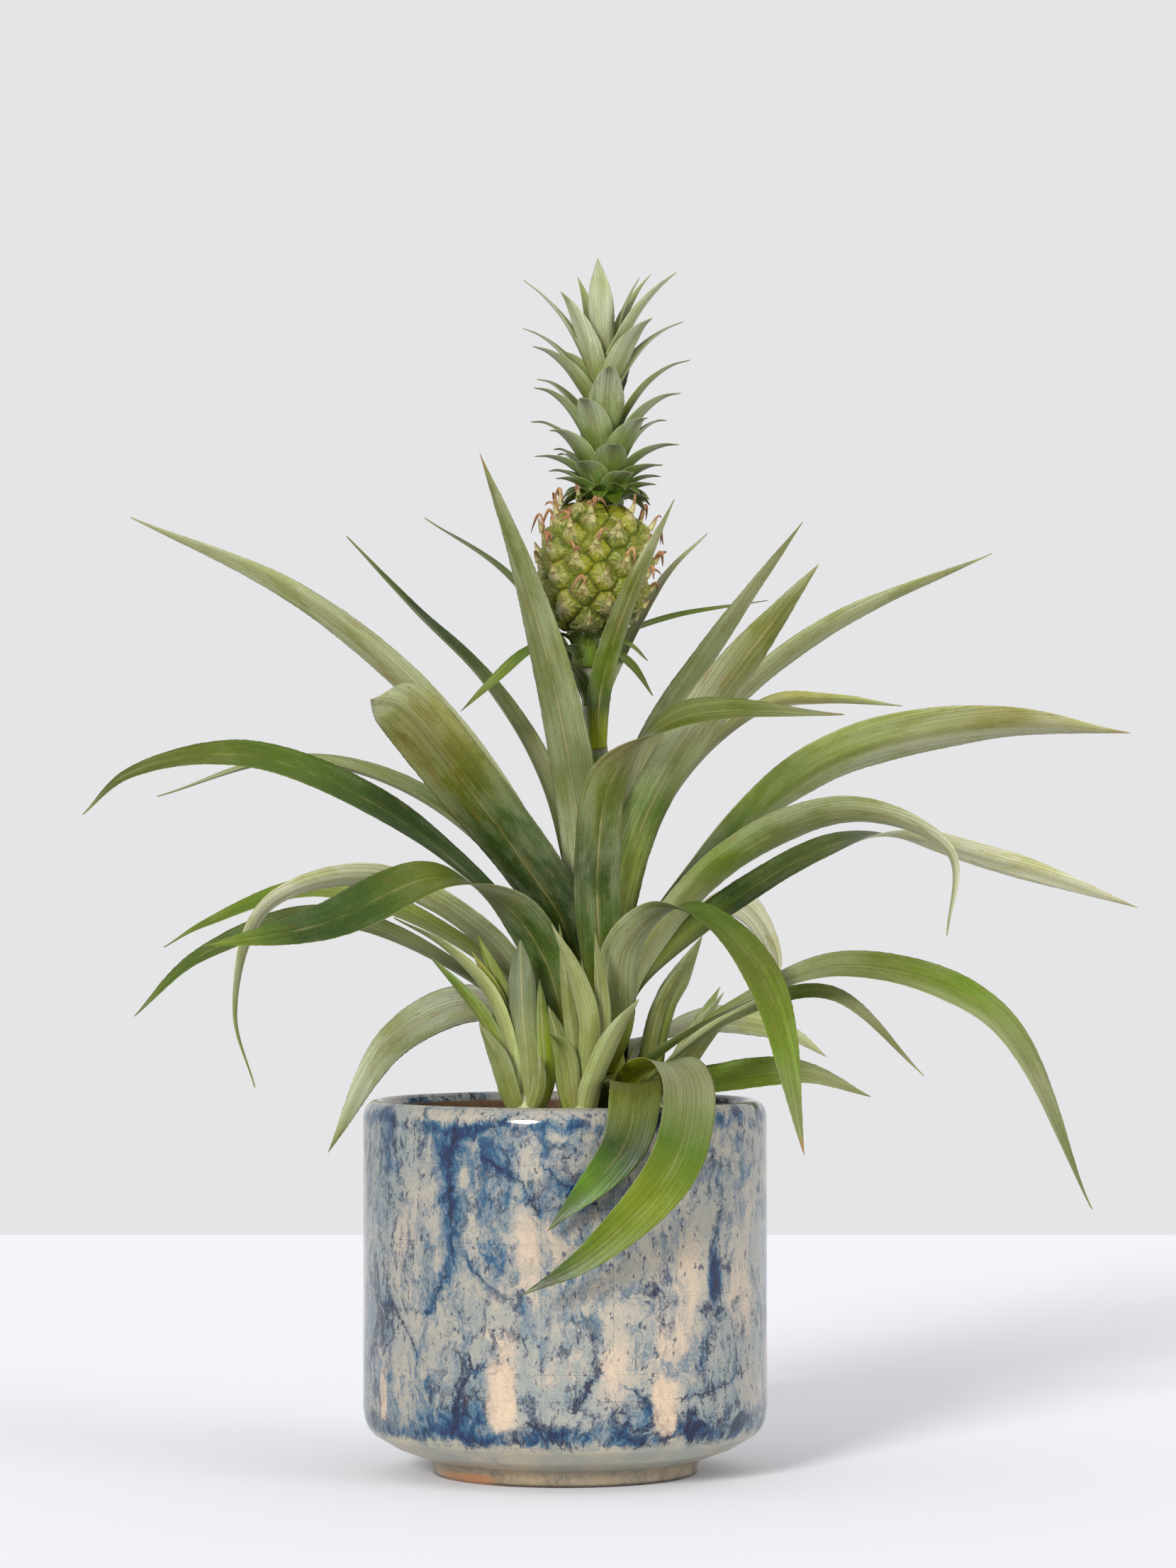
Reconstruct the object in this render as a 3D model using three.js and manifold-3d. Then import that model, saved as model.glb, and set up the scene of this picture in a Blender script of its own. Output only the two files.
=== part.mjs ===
// A small ornamental pineapple plant in a glazed pot. Millimetres, +Z up, origin at the centre of the
// pot's flat underside. The viewer of the front stands at -Y, with +X to the right.
import * as THREE from 'three';
import { mergeVertices } from 'three/addons/utils/BufferGeometryUtils.js';
import Module from 'manifold-3d';

const wasm = await Module();
wasm.setup();

// Driving dimensions
const SEAT_GAP = 0.3;            // clearance wherever one piece rests against another
const GOLDEN_ANGLE = Math.PI * (3 - Math.sqrt(5));
const DEGREE = Math.PI / 180;

const POT_RADIUS = 75;
const POT_HEIGHT = 138.3;
const POT_FOOT_RADIUS = 49;
const POT_BEVEL_TOP = 16;        // height where the sloping bevel meets the wall
const POT_LIP_RADIUS = 70.5;     // middle of the rounded lip
const POT_INNER_RADIUS = 65.5;
const POT_FLOOR = 8;
const POT_SIDES = 40;

const SOIL_LEVEL = 131.5;
const SOIL_FLAT_RADIUS = 56;     // the soil falls slightly from here to the wall

const STEM_AXIS_X = 11;          // the plant stands a little right of the pot's middle
const STEM_FOOT_RADIUS = 14;
const STEM_ROOT_DEPTH = 9;
const STALK_RADIUS = 3.8;
const STALK_TOP_RADIUS = 2.9;    // where the fruit's collar clasps it
const STEM_SIDES = 12;

const FRUIT_RADIUS = 18.3;       // body under the eyes
const FRUIT_HALF_HEIGHT = 24;
const FRUIT_CENTRE = [10.8, 0, 335.2];
const FRUIT_LEAN = 9.4 * DEGREE;
const FRUIT_EYES = 55;

const CROWN_FOOT = [14.8, 0, 359.6];
const CROWN_HEIGHT = 90;
const CROWN_LEAN = -0.9 * DEGREE;
const CROWN_FOOT_BLADES = 11;

const BLADE_THICKNESS = 0.95;
const LEAF_STEP = 18;           // length of one step along a large leaf
const LEAF_STEPS = [8, 12];      // fewest and most steps
const LEAF_LANES = 4;            // strips across a large leaf
const SMALL_LANES = 2;           // strips across a small one
const NARROW_LEAF = 9.2;         // leaves under this width count as small

// Colours and finishes
const paint = (color, roughness) => new THREE.MeshStandardMaterial({ color, roughness, metalness: 0 });
const FINISH = {
  glaze: paint(0x8f9aa6, 0.15),
  soil: paint(0x3b2a20, 0.95),
  stalk: paint(0x6f7d52, 0.7),
  fruit: paint(0x8fa33a, 0.35),
  crown: paint(0x6b8062, 0.5),
  leaf: paint(0x5f7a45, 0.5),
  pup: paint(0x93a877, 0.5),
};

const plant = new THREE.Group();

function addPiece(name, geometry, material) {
  const piece = new THREE.Mesh(geometry, material);
  piece.name = name;
  plant.add(piece);
  return piece;
}

// Small helpers: values along a list, solids from geometry and back

function along(values, t) {
  const place = t * (values.length - 1);
  const i = Math.min(Math.floor(place), values.length - 2);
  return values[i] + (values[i + 1] - values[i]) * (place - i);
}

function solidOf(geometry) {
  const bare = geometry.clone();
  bare.deleteAttribute('normal');
  bare.deleteAttribute('uv');
  const merged = mergeVertices(bare, 1e-4);
  return new wasm.Manifold(new wasm.Mesh({
    numProp: 3,
    vertProperties: new Float32Array(merged.attributes.position.array),
    triVerts: new Uint32Array(merged.index.array),
  }));
}

function geometryOf(solid) {
  const mesh = solid.getMesh();
  const geometry = new THREE.BufferGeometry();
  geometry.setAttribute('position', new THREE.BufferAttribute(mesh.vertProperties, 3));
  geometry.setIndex(new THREE.BufferAttribute(mesh.triVerts, 1));
  return geometry;
}

function joined(geometries) {
  return geometries.map(solidOf).reduce((whole, next) => whole.add(next));
}

function turned(profile, sides) {
  const points = profile.map(([radius, height]) => new THREE.Vector2(radius, height));
  const geometry = new THREE.LatheGeometry(points, sides);
  geometry.rotateX(Math.PI / 2);
  return geometry;
}

// Pot: one turned shell with a plain flat underside, a bevelled foot and a rounded lip
function potProfile() {
  return [
    [0, 0],
    [POT_FOOT_RADIUS, 0],
    [POT_FOOT_RADIUS + 0.5, 4],
    [POT_RADIUS - 12, 10.2],
    [POT_RADIUS - 4, POT_BEVEL_TOP - 1],
    [POT_RADIUS - 1, POT_BEVEL_TOP + 3],
    [POT_RADIUS, POT_BEVEL_TOP + 8],
    [POT_RADIUS, POT_HEIGHT - 13],
    [POT_RADIUS - 0.6, POT_HEIGHT - 7],
    [POT_RADIUS - 1.9, POT_HEIGHT - 2.2],
    [POT_LIP_RADIUS + 0.6, POT_HEIGHT],
    [POT_LIP_RADIUS - 2.4, POT_HEIGHT - 0.6],
    [POT_INNER_RADIUS + 0.7, POT_HEIGHT - 3.8],
    [POT_INNER_RADIUS, POT_HEIGHT - 10],
    [POT_INNER_RADIUS - 0.5, 20],
    [POT_INNER_RADIUS - 5.5, 12],
    [POT_INNER_RADIUS - 15.5, POT_FLOOR + 1],
    [0, POT_FLOOR],
  ];
}

// Soil: fills the pot, with a plain hole for the stem and for each side shoot
function soilProfile() {
  const gap = SEAT_GAP;
  return [
    [0, POT_FLOOR + gap],
    [POT_INNER_RADIUS - 15.6, POT_FLOOR + 1 + gap],
    [POT_INNER_RADIUS - 5.7, 12 + gap],
    [POT_INNER_RADIUS - 0.5 - gap, 20 + gap],
    [POT_INNER_RADIUS - gap, SOIL_LEVEL - 1.6],
    [SOIL_FLAT_RADIUS, SOIL_LEVEL],
    [0, SOIL_LEVEL],
  ];
}

const SHOOTS = [
  { name: 'shoot_left', foot: [-15, -44], radius: 6 },
  { name: 'shoot_centre', foot: [6, -45], radius: 6 },
  { name: 'shoot_right', foot: [36, 1], radius: 5.5 },
];
const SHOOT_ROOT_DEPTH = 5;
const SHOOT_SIDES = 10;

function rootHole(x, y, radius, depth, sides) {
  const hole = turned([[0, -depth], [radius, -depth], [radius, 10], [0, 10]], sides);
  hole.translate(x, y, SOIL_LEVEL);
  return solidOf(hole);
}

function soilGeometry() {
  let soil = solidOf(turned(soilProfile(), POT_SIDES));
  const stemHole = rootHole(STEM_AXIS_X, 0, STEM_FOOT_RADIUS + SEAT_GAP, STEM_ROOT_DEPTH + SEAT_GAP, STEM_SIDES);
  soil = soil.subtract(stemHole);
  for (const { foot, radius } of SHOOTS) {
    soil = soil.subtract(rootHole(...foot, radius + SEAT_GAP, SHOOT_ROOT_DEPTH + SEAT_GAP, SHOOT_SIDES));
  }
  return geometryOf(soil);
}

// Stem: a short thick stump that the leaves clasp, then the slim stalk that carries the fruit
const STEM_STATIONS = [
  // [x, z, radius]
  [STEM_AXIS_X, SOIL_LEVEL - STEM_ROOT_DEPTH, STEM_FOOT_RADIUS],
  [STEM_AXIS_X, SOIL_LEVEL + 0.5, STEM_FOOT_RADIUS],
  [STEM_AXIS_X, 148, 12],
  [STEM_AXIS_X, 165, 9.5],
  [STEM_AXIS_X, 182, 7.2],
  [STEM_AXIS_X + 0.3, 196, 4.6],
  [STEM_AXIS_X + 0.8, 212, STALK_RADIUS],
  [STEM_AXIS_X + 1.2, 240, STALK_RADIUS],
  [STEM_AXIS_X + 1, 262, STALK_RADIUS],
  [STEM_AXIS_X + 0.4, 267, STALK_RADIUS + 0.7],
  [STEM_AXIS_X - 0.2, 280, STALK_RADIUS],
  [STEM_AXIS_X - 3.6, 297, STALK_TOP_RADIUS],
  [STEM_AXIS_X - 4.4, 311.2, STALK_TOP_RADIUS],
];

function stemAt(z) {
  let i = 0;
  while (i < STEM_STATIONS.length - 2 && STEM_STATIONS[i + 1][1] < z) {
    i += 1;
  }
  const [x0, z0, r0] = STEM_STATIONS[i];
  const [x1, z1, r1] = STEM_STATIONS[i + 1];
  const t = (z - z0) / (z1 - z0);
  return { x: x0 + (x1 - x0) * t, radius: r0 + (r1 - r0) * t };
}

function stemGeometry() {
  const positions = [];
  const faces = [];
  for (const [x, z, radius] of STEM_STATIONS) {
    for (let k = 0; k < STEM_SIDES; k += 1) {
      const angle = k / STEM_SIDES * 2 * Math.PI;
      positions.push(x + radius * Math.sin(angle), -radius * Math.cos(angle), z);
    }
  }
  const last = STEM_STATIONS.length - 1;
  const id = (row, k) => row * STEM_SIDES + k % STEM_SIDES;
  for (let row = 0; row < last; row += 1) {
    for (let k = 0; k < STEM_SIDES; k += 1) {
      faces.push(id(row, k), id(row, k + 1), id(row + 1, k + 1));
      faces.push(id(row, k), id(row + 1, k + 1), id(row + 1, k));
    }
  }
  for (let k = 1; k < STEM_SIDES - 1; k += 1) {
    faces.push(id(0, 0), id(0, k + 1), id(0, k));
    faces.push(id(last, 0), id(last, k), id(last, k + 1));
  }
  return closedGeometry(positions, faces);
}

function closedGeometry(positions, faces) {
  const geometry = new THREE.BufferGeometry();
  geometry.setAttribute('position', new THREE.Float32BufferAttribute(positions, 3));
  geometry.setIndex(faces);
  return geometry;
}

// Blade: a closed strap swept along a curve. Its section is an arc that is hollow on the upper face. Near the
// axis of the plant the arc curls round that axis, so that the bases lie inside one another without crossing.
function bladeGeometry({ spine, axis, bearing, width, roll, gutter, baseWidth, taperFrom, thickness, steps, lanes }) {
  const curve = new THREE.CatmullRomCurve3(spine.map((p) => new THREE.Vector3(...p)), false, 'centripetal');
  const positions = [];
  const faces = [];
  const rowSize = 2 * lanes;
  for (let step = 0; step < steps; step += 1) {
    const t = step / steps;
    const centre = curve.getPointAt(t);
    const tangent = curve.getTangentAt(t);
    const fromAxis = new THREE.Vector3(centre.x - axis[0], centre.y - axis[1], 0);
    const reach = fromAxis.length();
    const aim = bearing === undefined ? Math.atan2(fromAxis.y, fromAxis.x) : bearing * DEGREE;
    const side = new THREE.Vector3(-Math.sin(aim), Math.cos(aim), 0);
    side.addScaledVector(tangent, -side.dot(tangent)).normalize();
    side.applyAxisAngle(tangent, along(roll, t) * DEGREE);
    const up = new THREE.Vector3().crossVectors(tangent, side);
    const half = width / 2 * bladeOutline(t, baseWidth, taperFrom);
    const curl = Math.min(Math.max(along(gutter, t) * DEGREE, half / reach), 1.5);
    const thick = thickness * (1 - 0.35 * t);
    const row = [];
    for (let i = 0; i <= lanes; i += 1) {
      const v = 2 * i / lanes - 1;
      const across = half * Math.sin(curl * v) / curl;
      const rise = half * (1 - Math.cos(curl * v)) / curl;
      const depth = thick / 2 * (1 - v * v) ** 0.5;
      row.push([across, rise, depth]);
    }
    const put = (across, lift) => {
      const point = centre.clone().addScaledVector(side, across).addScaledVector(up, lift);
      positions.push(point.x, point.y, point.z);
    };
    row.forEach(([across, rise, depth]) => put(across, rise + depth));
    row.slice(1, -1).forEach(([across, rise, depth]) => put(across, rise - depth));
  }
  const tip = curve.getPointAt(1);
  positions.push(tip.x, tip.y, tip.z);
  const tipId = steps * rowSize;
  const top = (step, i) => (step < steps ? step * rowSize + i : tipId);
  const under = (step, i) => (i === 0 || i === lanes ? top(step, i) : top(step, lanes + i));
  const add = (a, b, c) => {
    if (a !== b && b !== c && a !== c) {
      faces.push(a, b, c);
    }
  };
  for (let i = 0; i < lanes; i += 1) {
    add(top(0, i), top(0, i + 1), under(0, i + 1));
    add(top(0, i), under(0, i + 1), under(0, i));
    for (let step = 0; step < steps; step += 1) {
      add(top(step, i), top(step + 1, i), top(step + 1, i + 1));
      add(top(step, i), top(step + 1, i + 1), top(step, i + 1));
      add(under(step, i), under(step + 1, i + 1), under(step + 1, i));
      add(under(step, i), under(step, i + 1), under(step + 1, i + 1));
    }
  }
  return closedGeometry(positions, faces);
}

// Half width along a blade, as a share of the full half width
function bladeOutline(t, baseWidth, taperFrom) {
  const growth = Math.min(t / 0.25, 1);
  const base = baseWidth + (1 - baseWidth) * growth * growth * (3 - 2 * growth);
  const taper = t < taperFrom ? 1 : Math.cos(Math.PI / 2 * (t - taperFrom) / (1 - taperFrom));
  return base * taper;
}

// Large leaves. foot is [bearing in degrees, height] on the stem, spine the points after it, roll turns the
// blade about its own length and gutter is the half angle of its hollow, both in degrees from foot to tip.
const LEAVES = {
  left_high: {
    foot: [135, 176], width: 14, roll: [0, 60, 74, 70, 60], gutter: [30, 30, 25, 20], taperFrom: 0.5,
    spine: [[0, 11, 208], [-20, 22, 245], [-54, 40, 288], [-104, 58, 329], [-169, 70, 360]],
  },
  front_left_up: {
    foot: [-128, 169], width: 25, roll: [0, 25, 45, 50, 50], gutter: [30, 25, 18, 18], taperFrom: 0.6,
    spine: [[1, -12, 200], [-13, -20, 223], [-36, -40, 254], [-56, -67, 279], [-67, -122, 282]],
  },
  back_left_slim: {
    foot: [118, 182], width: 12, roll: [0, 0, 0], gutter: [30, 55, 60, 50],
    spine: [[4, 10, 215], [-8, 22, 258], [-30, 40, 294], [-58, 60, 323], [-86, 88, 354]],
  },
  front_tall: {
    foot: [-106, 178], width: 18, roll: [0, 5, 15, 20], gutter: [30, 30, 30, 30], taperFrom: 0.38,
    spine: [[8, -10, 204], [4, -16, 248], [-4, -25, 291], [-16, -34, 334], [-31, -42, 375]],
  },
  right_up_back: {
    foot: [40, 180], width: 13, roll: [0, 12, 22, 30], gutter: [30, 30, 30], taperFrom: 0.5,
    spine: [[18, 7, 212], [31, 19, 267], [59, 34, 312], [91, 52, 357]],
  },
  right_up_front: {
    foot: [-52, 172], width: 19, roll: [0, -6, -26, -45, -50], gutter: [30, 25, 25, 30], taperFrom: 0.6,
    spine: [[18, -12, 195], [28, -16, 239], [54, -24, 284], [81, -30, 320], [93, -34, 335]],
  },
  right_long_back: {
    foot: [18, 170], width: 12, roll: [0, -20, -55, -60, -50], gutter: [30, 30, 25, 20], taperFrom: 0.5,
    spine: [[22, 2, 195], [35, 7, 240], [56, 14, 278], [98, 31, 314], [164, 56, 345]],
  },
  right_mid_back: {
    foot: [50, 164], width: 11, roll: [0, -12, -50, -50, -40], gutter: [30, 30, 30], taperFrom: 0.55,
    spine: [[20, 12, 196], [44, 32, 256], [77, 53, 286], [102, 66, 289], [131, 78, 287]],
  },
  front_centre: {
    foot: [-86, 164], width: 18, roll: [0, 0, 0, 15, 60, 45, 40], gutter: [30, 35, 35, 30], taperFrom: 0.5,
    spine: [[13, -19, 188], [12, -27, 225], [18, -34, 258], [43, -48, 278], [101, -60, 279]],
  },
  right_big: {
    foot: [4, 160], width: 26, roll: [0, -12, -42, -42, -35], gutter: [30, 30, 20, 20], taperFrom: 0.6,
    spine: [[24, 0, 184], [54, 3, 226], [99, 5, 263], [159, 1, 277], [210, -6, 274]],
  },
  right_mid_front: {
    foot: [-40, 156], width: 16, roll: [0, -20, -42, -45, -45], gutter: [30, 30, 30, 40], taperFrom: 0.5,
    spine: [[26, -12, 184], [61, -26, 227], [105, -42, 244], [139, -50, 229], [138, -53, 199]],
  },
  right_low_back: {
    foot: [14, 153], width: 14, roll: [0, 25, 40, 30, -30, -45, -45], gutter: [30, 30, 20, 20],
    spine: [[25, 4, 176], [67, 17, 214], [116, 28, 236], [164, 32, 226], [217, 34, 209]], taperFrom: 0.7,
  },
  back_right_drop: {
    foot: [46, 147], width: 13, roll: [0, -10, -50, -75, -70], gutter: [30, 20, 20], taperFrom: 0.55,
    spine: [[24, 13, 178], [51, 44, 206], [68, 59, 210], [81, 71, 190], [79, 75, 168]],
  },
  front_fold: {
    foot: [-72, 148], width: 17, roll: [0, 0, 0, 0, 15, 20, 25], gutter: [30, 40, 30, 20, 30], taperFrom: 0.55,
    spine: [[20, -24, 163], [22, -31, 194], [38, -44, 209], [55, -58, 203], [72, -72, 181], [85, -86, 122]],
  },
  right_trailing: {
    foot: [-48, 141], width: 15, roll: [0, 20, 40, 40, 20, 10], gutter: [30, 30, 25, 25], taperFrom: 0.6,
    spine: [[28, -22, 150], [60, -36, 172], [102, -53, 188], [153, -67, 171], [188, -75, 102]],
  },
  right_trailing_short: {
    foot: [-26, 137], width: 7, roll: [0, 45, 60, 50, 45], gutter: [30, 30, 25], taperFrom: 0.5,
    spine: [[33, -12, 147], [63, -21, 170], [97, -32, 178], [131, -40, 148]],
  },
  back_right_low: {
    foot: [38, 139], width: 12, roll: [0, -50, -70, -70], gutter: [30, 25, 20], taperFrom: 0.5,
    spine: [[29, 13, 155], [54, 37, 166], [87, 62, 160], [101, 71, 151]],
  },
  right_low: {
    foot: [27, 133.5], width: 14, roll: [0, 45, 60, 55], gutter: [30, 30, 25], taperFrom: 0.45,
    spine: [[32, 11, 139], [56, 17, 144], [88, 19, 147], [115, 20, 138]],
  },
  front_drape_left: {
    foot: [-80, 133], width: 19, roll: [0, 0, 0], gutter: [30, 20, 20], taperFrom: 0.5,
    spine: [[21, -34, 141], [25, -55, 146], [25, -75, 141], [21, -83, 125], [-6, -84, 95]],
  },
  front_drape_right: {
    foot: [-58, 137], width: 20, roll: [0, 0, 0], gutter: [30, 20, 25], taperFrom: 0.5,
    spine: [[27, -31, 149], [39, -55, 153], [44, -77, 142], [38, -89, 118], [10, -94, 88], [-15, -92, 73]],
  },
  left_arch_front: {
    foot: [-143, 163], width: 16, roll: [0, -30, -52, -50, -40], gutter: [30, 30, 25, 20], taperFrom: 0.55,
    spine: [[0, -9, 182], [-28, -16, 214], [-70, -24, 247], [-118, -31, 265], [-159, -35, 258],
      [-176, -36, 243]],
  },
  left_arch_back: {
    foot: [165, 161], width: 15, roll: [0, -15, -20, -20], gutter: [30, 60, 60, 40], taperFrom: 0.4,
    spine: [[-2, 4, 184], [-27, 10, 228], [-64, 19, 255], [-106, 26, 264], [-155, 31, 251]],
  },
  front_left_fold: {
    foot: [-115, 150], width: 18, roll: [0, 20, 20, -25, -50, -50, -45], gutter: [30, 30, 20, 20], taperFrom: 0.65,
    spine: [[1, -22, 162], [-7, -30, 190], [-22, -41, 211], [-46, -60, 220], [-88, -79, 203],
      [-128, -88, 196]],
  },
  left_weeping: {
    foot: [-150, 147], width: 14, roll: [0, 25, 40, 40, 25], gutter: [30, 30, 25], taperFrom: 0.45,
    spine: [[-7, -11, 167], [-33, -22, 201], [-72, -35, 220], [-108, -43, 209], [-119, -46, 172],
      [-112, -46, 144]],
  },
  left_low_upper: {
    foot: [168, 152], width: 13, roll: [0, -20, -45, -45], gutter: [30, 30, 25], taperFrom: 0.5,
    spine: [[-6, 4, 166], [-42, 9, 197], [-92, 13, 216], [-135, 15, 203], [-151, 15, 194]],
  },
  left_low: {
    foot: [186, 143], width: 14, roll: [0, -20, -45, -50], gutter: [30, 30, 25], taperFrom: 0.5,
    spine: [[-8, -2, 157], [-39, -6, 185], [-88, -10, 205], [-135, -13, 191], [-159, -15, 169]],
  },
  back_left_low: {
    foot: [128, 141], width: 16, roll: [0, 60, 72, 70, 60], gutter: [30, 25, 20], taperFrom: 0.45,
    spine: [[-4, 16, 153], [-34, 38, 172], [-66, 56, 158], [-92, 68, 114]],
  },
  back_low_right: {
    foot: [78, 134], width: 15, roll: [0, 0, 0], gutter: [30, 25, 20],
    spine: [[17, 30, 148], [24, 62, 158], [28, 92, 140], [29, 106, 102]],
  },
  back_low_left: {
    foot: [106, 138], width: 16, roll: [0, 0, 0], gutter: [30, 25, 20],
    spine: [[4, 26, 154], [-4, 58, 172], [-10, 92, 158], [-12, 112, 118]],
  },
  back_middle: {
    foot: [92, 147], width: 17, roll: [0, 0, 0], gutter: [30, 25, 20],
    spine: [[10, 22, 172], [8, 52, 202], [6, 90, 198], [4, 120, 160]],
  },
  back_upper: {
    foot: [72, 157], width: 16, roll: [0, 0, 0], gutter: [30, 25, 20],
    spine: [[16, 18, 185], [16, 46, 212], [15, 84, 212], [14, 118, 182]],
  },
  stalk_left: {
    foot: [105, 284], width: 6, roll: [0, 0, 0], gutter: [30, 40, 30],
    spine: [[1, 11, 303], [-22, 36, 335], [-55, 74, 360]],
  },
  stalk_right: {
    foot: [-80, 268], width: 9.5, roll: [0, 0, 0], gutter: [30, 30, 30], taperFrom: 0.4,
    spine: [[13, -11, 289], [22, -26, 319], [40, -46, 358]],
  },
  stalk_back: {
    foot: [58, 283], width: 5, roll: [0, 20, 30], gutter: [30, 30, 30], taperFrom: 0.4,
    spine: [[21, 12, 303], [38, 20, 334], [54, 30, 351]],
  },
};

function distance(a, b) {
  return Math.hypot(a[0] - b[0], a[1] - b[1], a[2] - b[2]);
}

function leafGeometry({ foot, spine, width, roll, gutter, taperFrom = 0.35 }) {
  const [bearing, height] = foot;
  const stem = stemAt(height);
  const reach = stem.radius + SEAT_GAP + BLADE_THICKNESS / 2 + 0.3;
  const start = [stem.x + reach * Math.cos(bearing * DEGREE), reach * Math.sin(bearing * DEGREE), height];
  const run = spine.reduce(([sum, last], point) => [sum + distance(last, point), point], [0, start])[0];
  return bladeGeometry({
    spine: [start, ...spine],
    axis: [stem.x, 0],
    width,
    roll,
    gutter,
    baseWidth: Math.min(0.75, 9 / width),
    taperFrom,
    thickness: BLADE_THICKNESS,
    steps: Math.round(THREE.MathUtils.clamp(run / LEAF_STEP, ...LEAF_STEPS)),
    lanes: width < NARROW_LEAF ? SMALL_LANES : LEAF_LANES,
  });
}

// Side shoots: short leaves fused to a small stem of their own
const SHOOT_LEAVES = {
  // [width, bearing it faces away from, gutter, points after the root]
  shoot_left: [
    [15, -90, 70, [[-13, -45, 149], [-15, -46, 170], [-16, -45, 198]]],
    [9, -75, 40, [[-7, -44, 147], [-8, -43, 163], [-9, -40, 184]]],
    [9, -110, 30, [[-19, -38, 158], [-24, -35, 180], [-32, -33, 200]]],
    [8, -110, 30, [[-20, -40, 154], [-25, -39, 177], [-34, -38, 194]]],
    [9, -125, 35, [[-20, -44, 158], [-27, -45, 178], [-43, -47, 195], [-62, -50, 206]]],
    [8, -130, 35, [[-21, -42, 148], [-29, -41, 168], [-50, -39, 193]]],
    [11, -100, 45, [[-20, -49, 142], [-24, -51, 155], [-31, -52, 168]]],
    [6, -90, 45, [[-10, -49, 142], [-9, -50, 149], [-9, -50, 157]]],
  ],
  shoot_centre: [
    [9, -90, 50, [[8, -48, 148], [9, -50, 168], [4, -50, 186], [-5, -49, 204]]],
    [6, -90, 40, [[4, -43, 150], [1, -42, 180], [-2, -42, 204]]],
    [6, -90, 40, [[9, -44, 158], [8, -44, 174], [6, -44, 191]]],
    [7, -80, 40, [[11, -44, 148], [14, -43, 170], [11, -41, 201]]],
    [10, -65, 45, [[10, -50, 144], [18, -56, 163], [27, -61, 177]]],
    [8, -95, 50, [[3, -49, 142], [0, -53, 159], [-6, -58, 165]]],
  ],
  shoot_right: [
    [14.6, -61, 40, [[34, -1, 150], [38, -2, 170], [51, -5, 199]]],
    [7, -70, 35, [[31, -4, 148], [35, -6, 172], [47, -8, 193]]],
    [7, -80, 40, [[30, -4, 146], [31, -5, 158], [33, -6, 169]]],
    [8, 60, 30, [[40, 4, 146], [49, 6, 163], [58, 6, 180]]],
    [8, -57, 35, [[40, -1, 146], [48, -2, 161], [59, -4, 178]]],
    [8, -50, 35, [[41, -4, 141], [50, -7, 156], [62, -12, 171]]],
  ],
};

function shootGeometry({ name, foot, radius }) {
  const [x, y] = foot;
  const profile = [[0, -SHOOT_ROOT_DEPTH], [radius, -SHOOT_ROOT_DEPTH], [radius, 0.5], [radius - 2, 6], [0, 12]];
  const core = turned(profile, SHOOT_SIDES);
  core.translate(x, y, SOIL_LEVEL);
  const blades = SHOOT_LEAVES[name].map(([width, bearing, gutter, spine], i) => {
    const [bx, by] = spine[0];
    const lean = Math.min(1, 3 / Math.hypot(bx - x, by - y));
    const root = [x + (bx - x) * lean, y + (by - y) * lean, SOIL_LEVEL + 0.6 + 0.3 * i];
    return bladeGeometry({
      spine: [root, ...spine],
      axis: foot,
      bearing,
      width,
      roll: [0, 0],
      gutter: [gutter, gutter],
      baseWidth: 0.8,
      taperFrom: 0.5,
      thickness: BLADE_THICKNESS,
      steps: 6,
      lanes: SMALL_LANES,
    });
  });
  return geometryOf(joined([core, ...blades]));
}

// Fruit: a barrel body with rounded eyes on a golden-angle spiral, a pointed bract on each eye and withered
// flowers on the upper ones. Made upright about its own middle, then leaned.
function fruitPlaces() {
  const places = [];
  for (let i = 0; i < FRUIT_EYES; i += 1) {
    const share = (i + 0.5) / FRUIT_EYES * 2 - 1;
    const height = share * (FRUIT_HALF_HEIGHT - 3.2);
    const ring = fruitRadiusAt(height);
    const bearing = i * GOLDEN_ANGLE;
    places.push({ i, height, ring, bearing });
  }
  return places;
}

function fruitRadiusAt(height) {
  const share = Math.min(Math.abs(height) / FRUIT_HALF_HEIGHT, 1);
  return FRUIT_RADIUS * (1 - share ** 2.6) ** 0.5;
}

function fruitBody() {
  const rings = 9;
  const profile = [[0, -FRUIT_HALF_HEIGHT + 1]];
  for (let k = 0; k <= rings; k += 1) {
    const height = (FRUIT_HALF_HEIGHT - 1) * (2 * k / rings - 1);
    profile.push([Math.max(fruitRadiusAt(height), 5.5), height]);
  }
  profile.push([0, FRUIT_HALF_HEIGHT - 1]);
  return turned(profile, 20);
}

// Stands a shape that was made along +Z on the fruit's surface, pointing out and up by the given angle
function onSurface(geometry, place, sink, upward) {
  const slope = (fruitRadiusAt(place.height - 1) - fruitRadiusAt(place.height + 1)) / 2;
  const out = new THREE.Vector3(1, 0, Math.max(-1.6, Math.min(1.6, slope))).normalize();
  const lean = new THREE.Vector3(Math.cos(upward), 0, Math.sin(upward));
  const aim = upward === 0 ? out : lean.lerp(out, 0.5).normalize();
  geometry.applyQuaternion(new THREE.Quaternion().setFromUnitVectors(new THREE.Vector3(0, 0, 1), aim));
  geometry.translate(place.ring - sink * out.x, 0, place.height - sink * out.z);
  geometry.rotateZ(place.bearing);
  return geometry;
}

function eyeGeometry(place) {
  const eye = new THREE.SphereGeometry(1, 6, 4);
  eye.rotateX(Math.PI / 2);
  eye.scale(6.9, 7.3, 4.7);
  return onSurface(eye, place, 0.7, 0);
}

function beakGeometry(place) {
  const beak = new THREE.ConeGeometry(1.9, 5.5, 3);
  beak.rotateX(Math.PI / 2);
  beak.translate(0, 0, 2.2);
  return onSurface(beak, place, -2.2, 50 * DEGREE);
}

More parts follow.
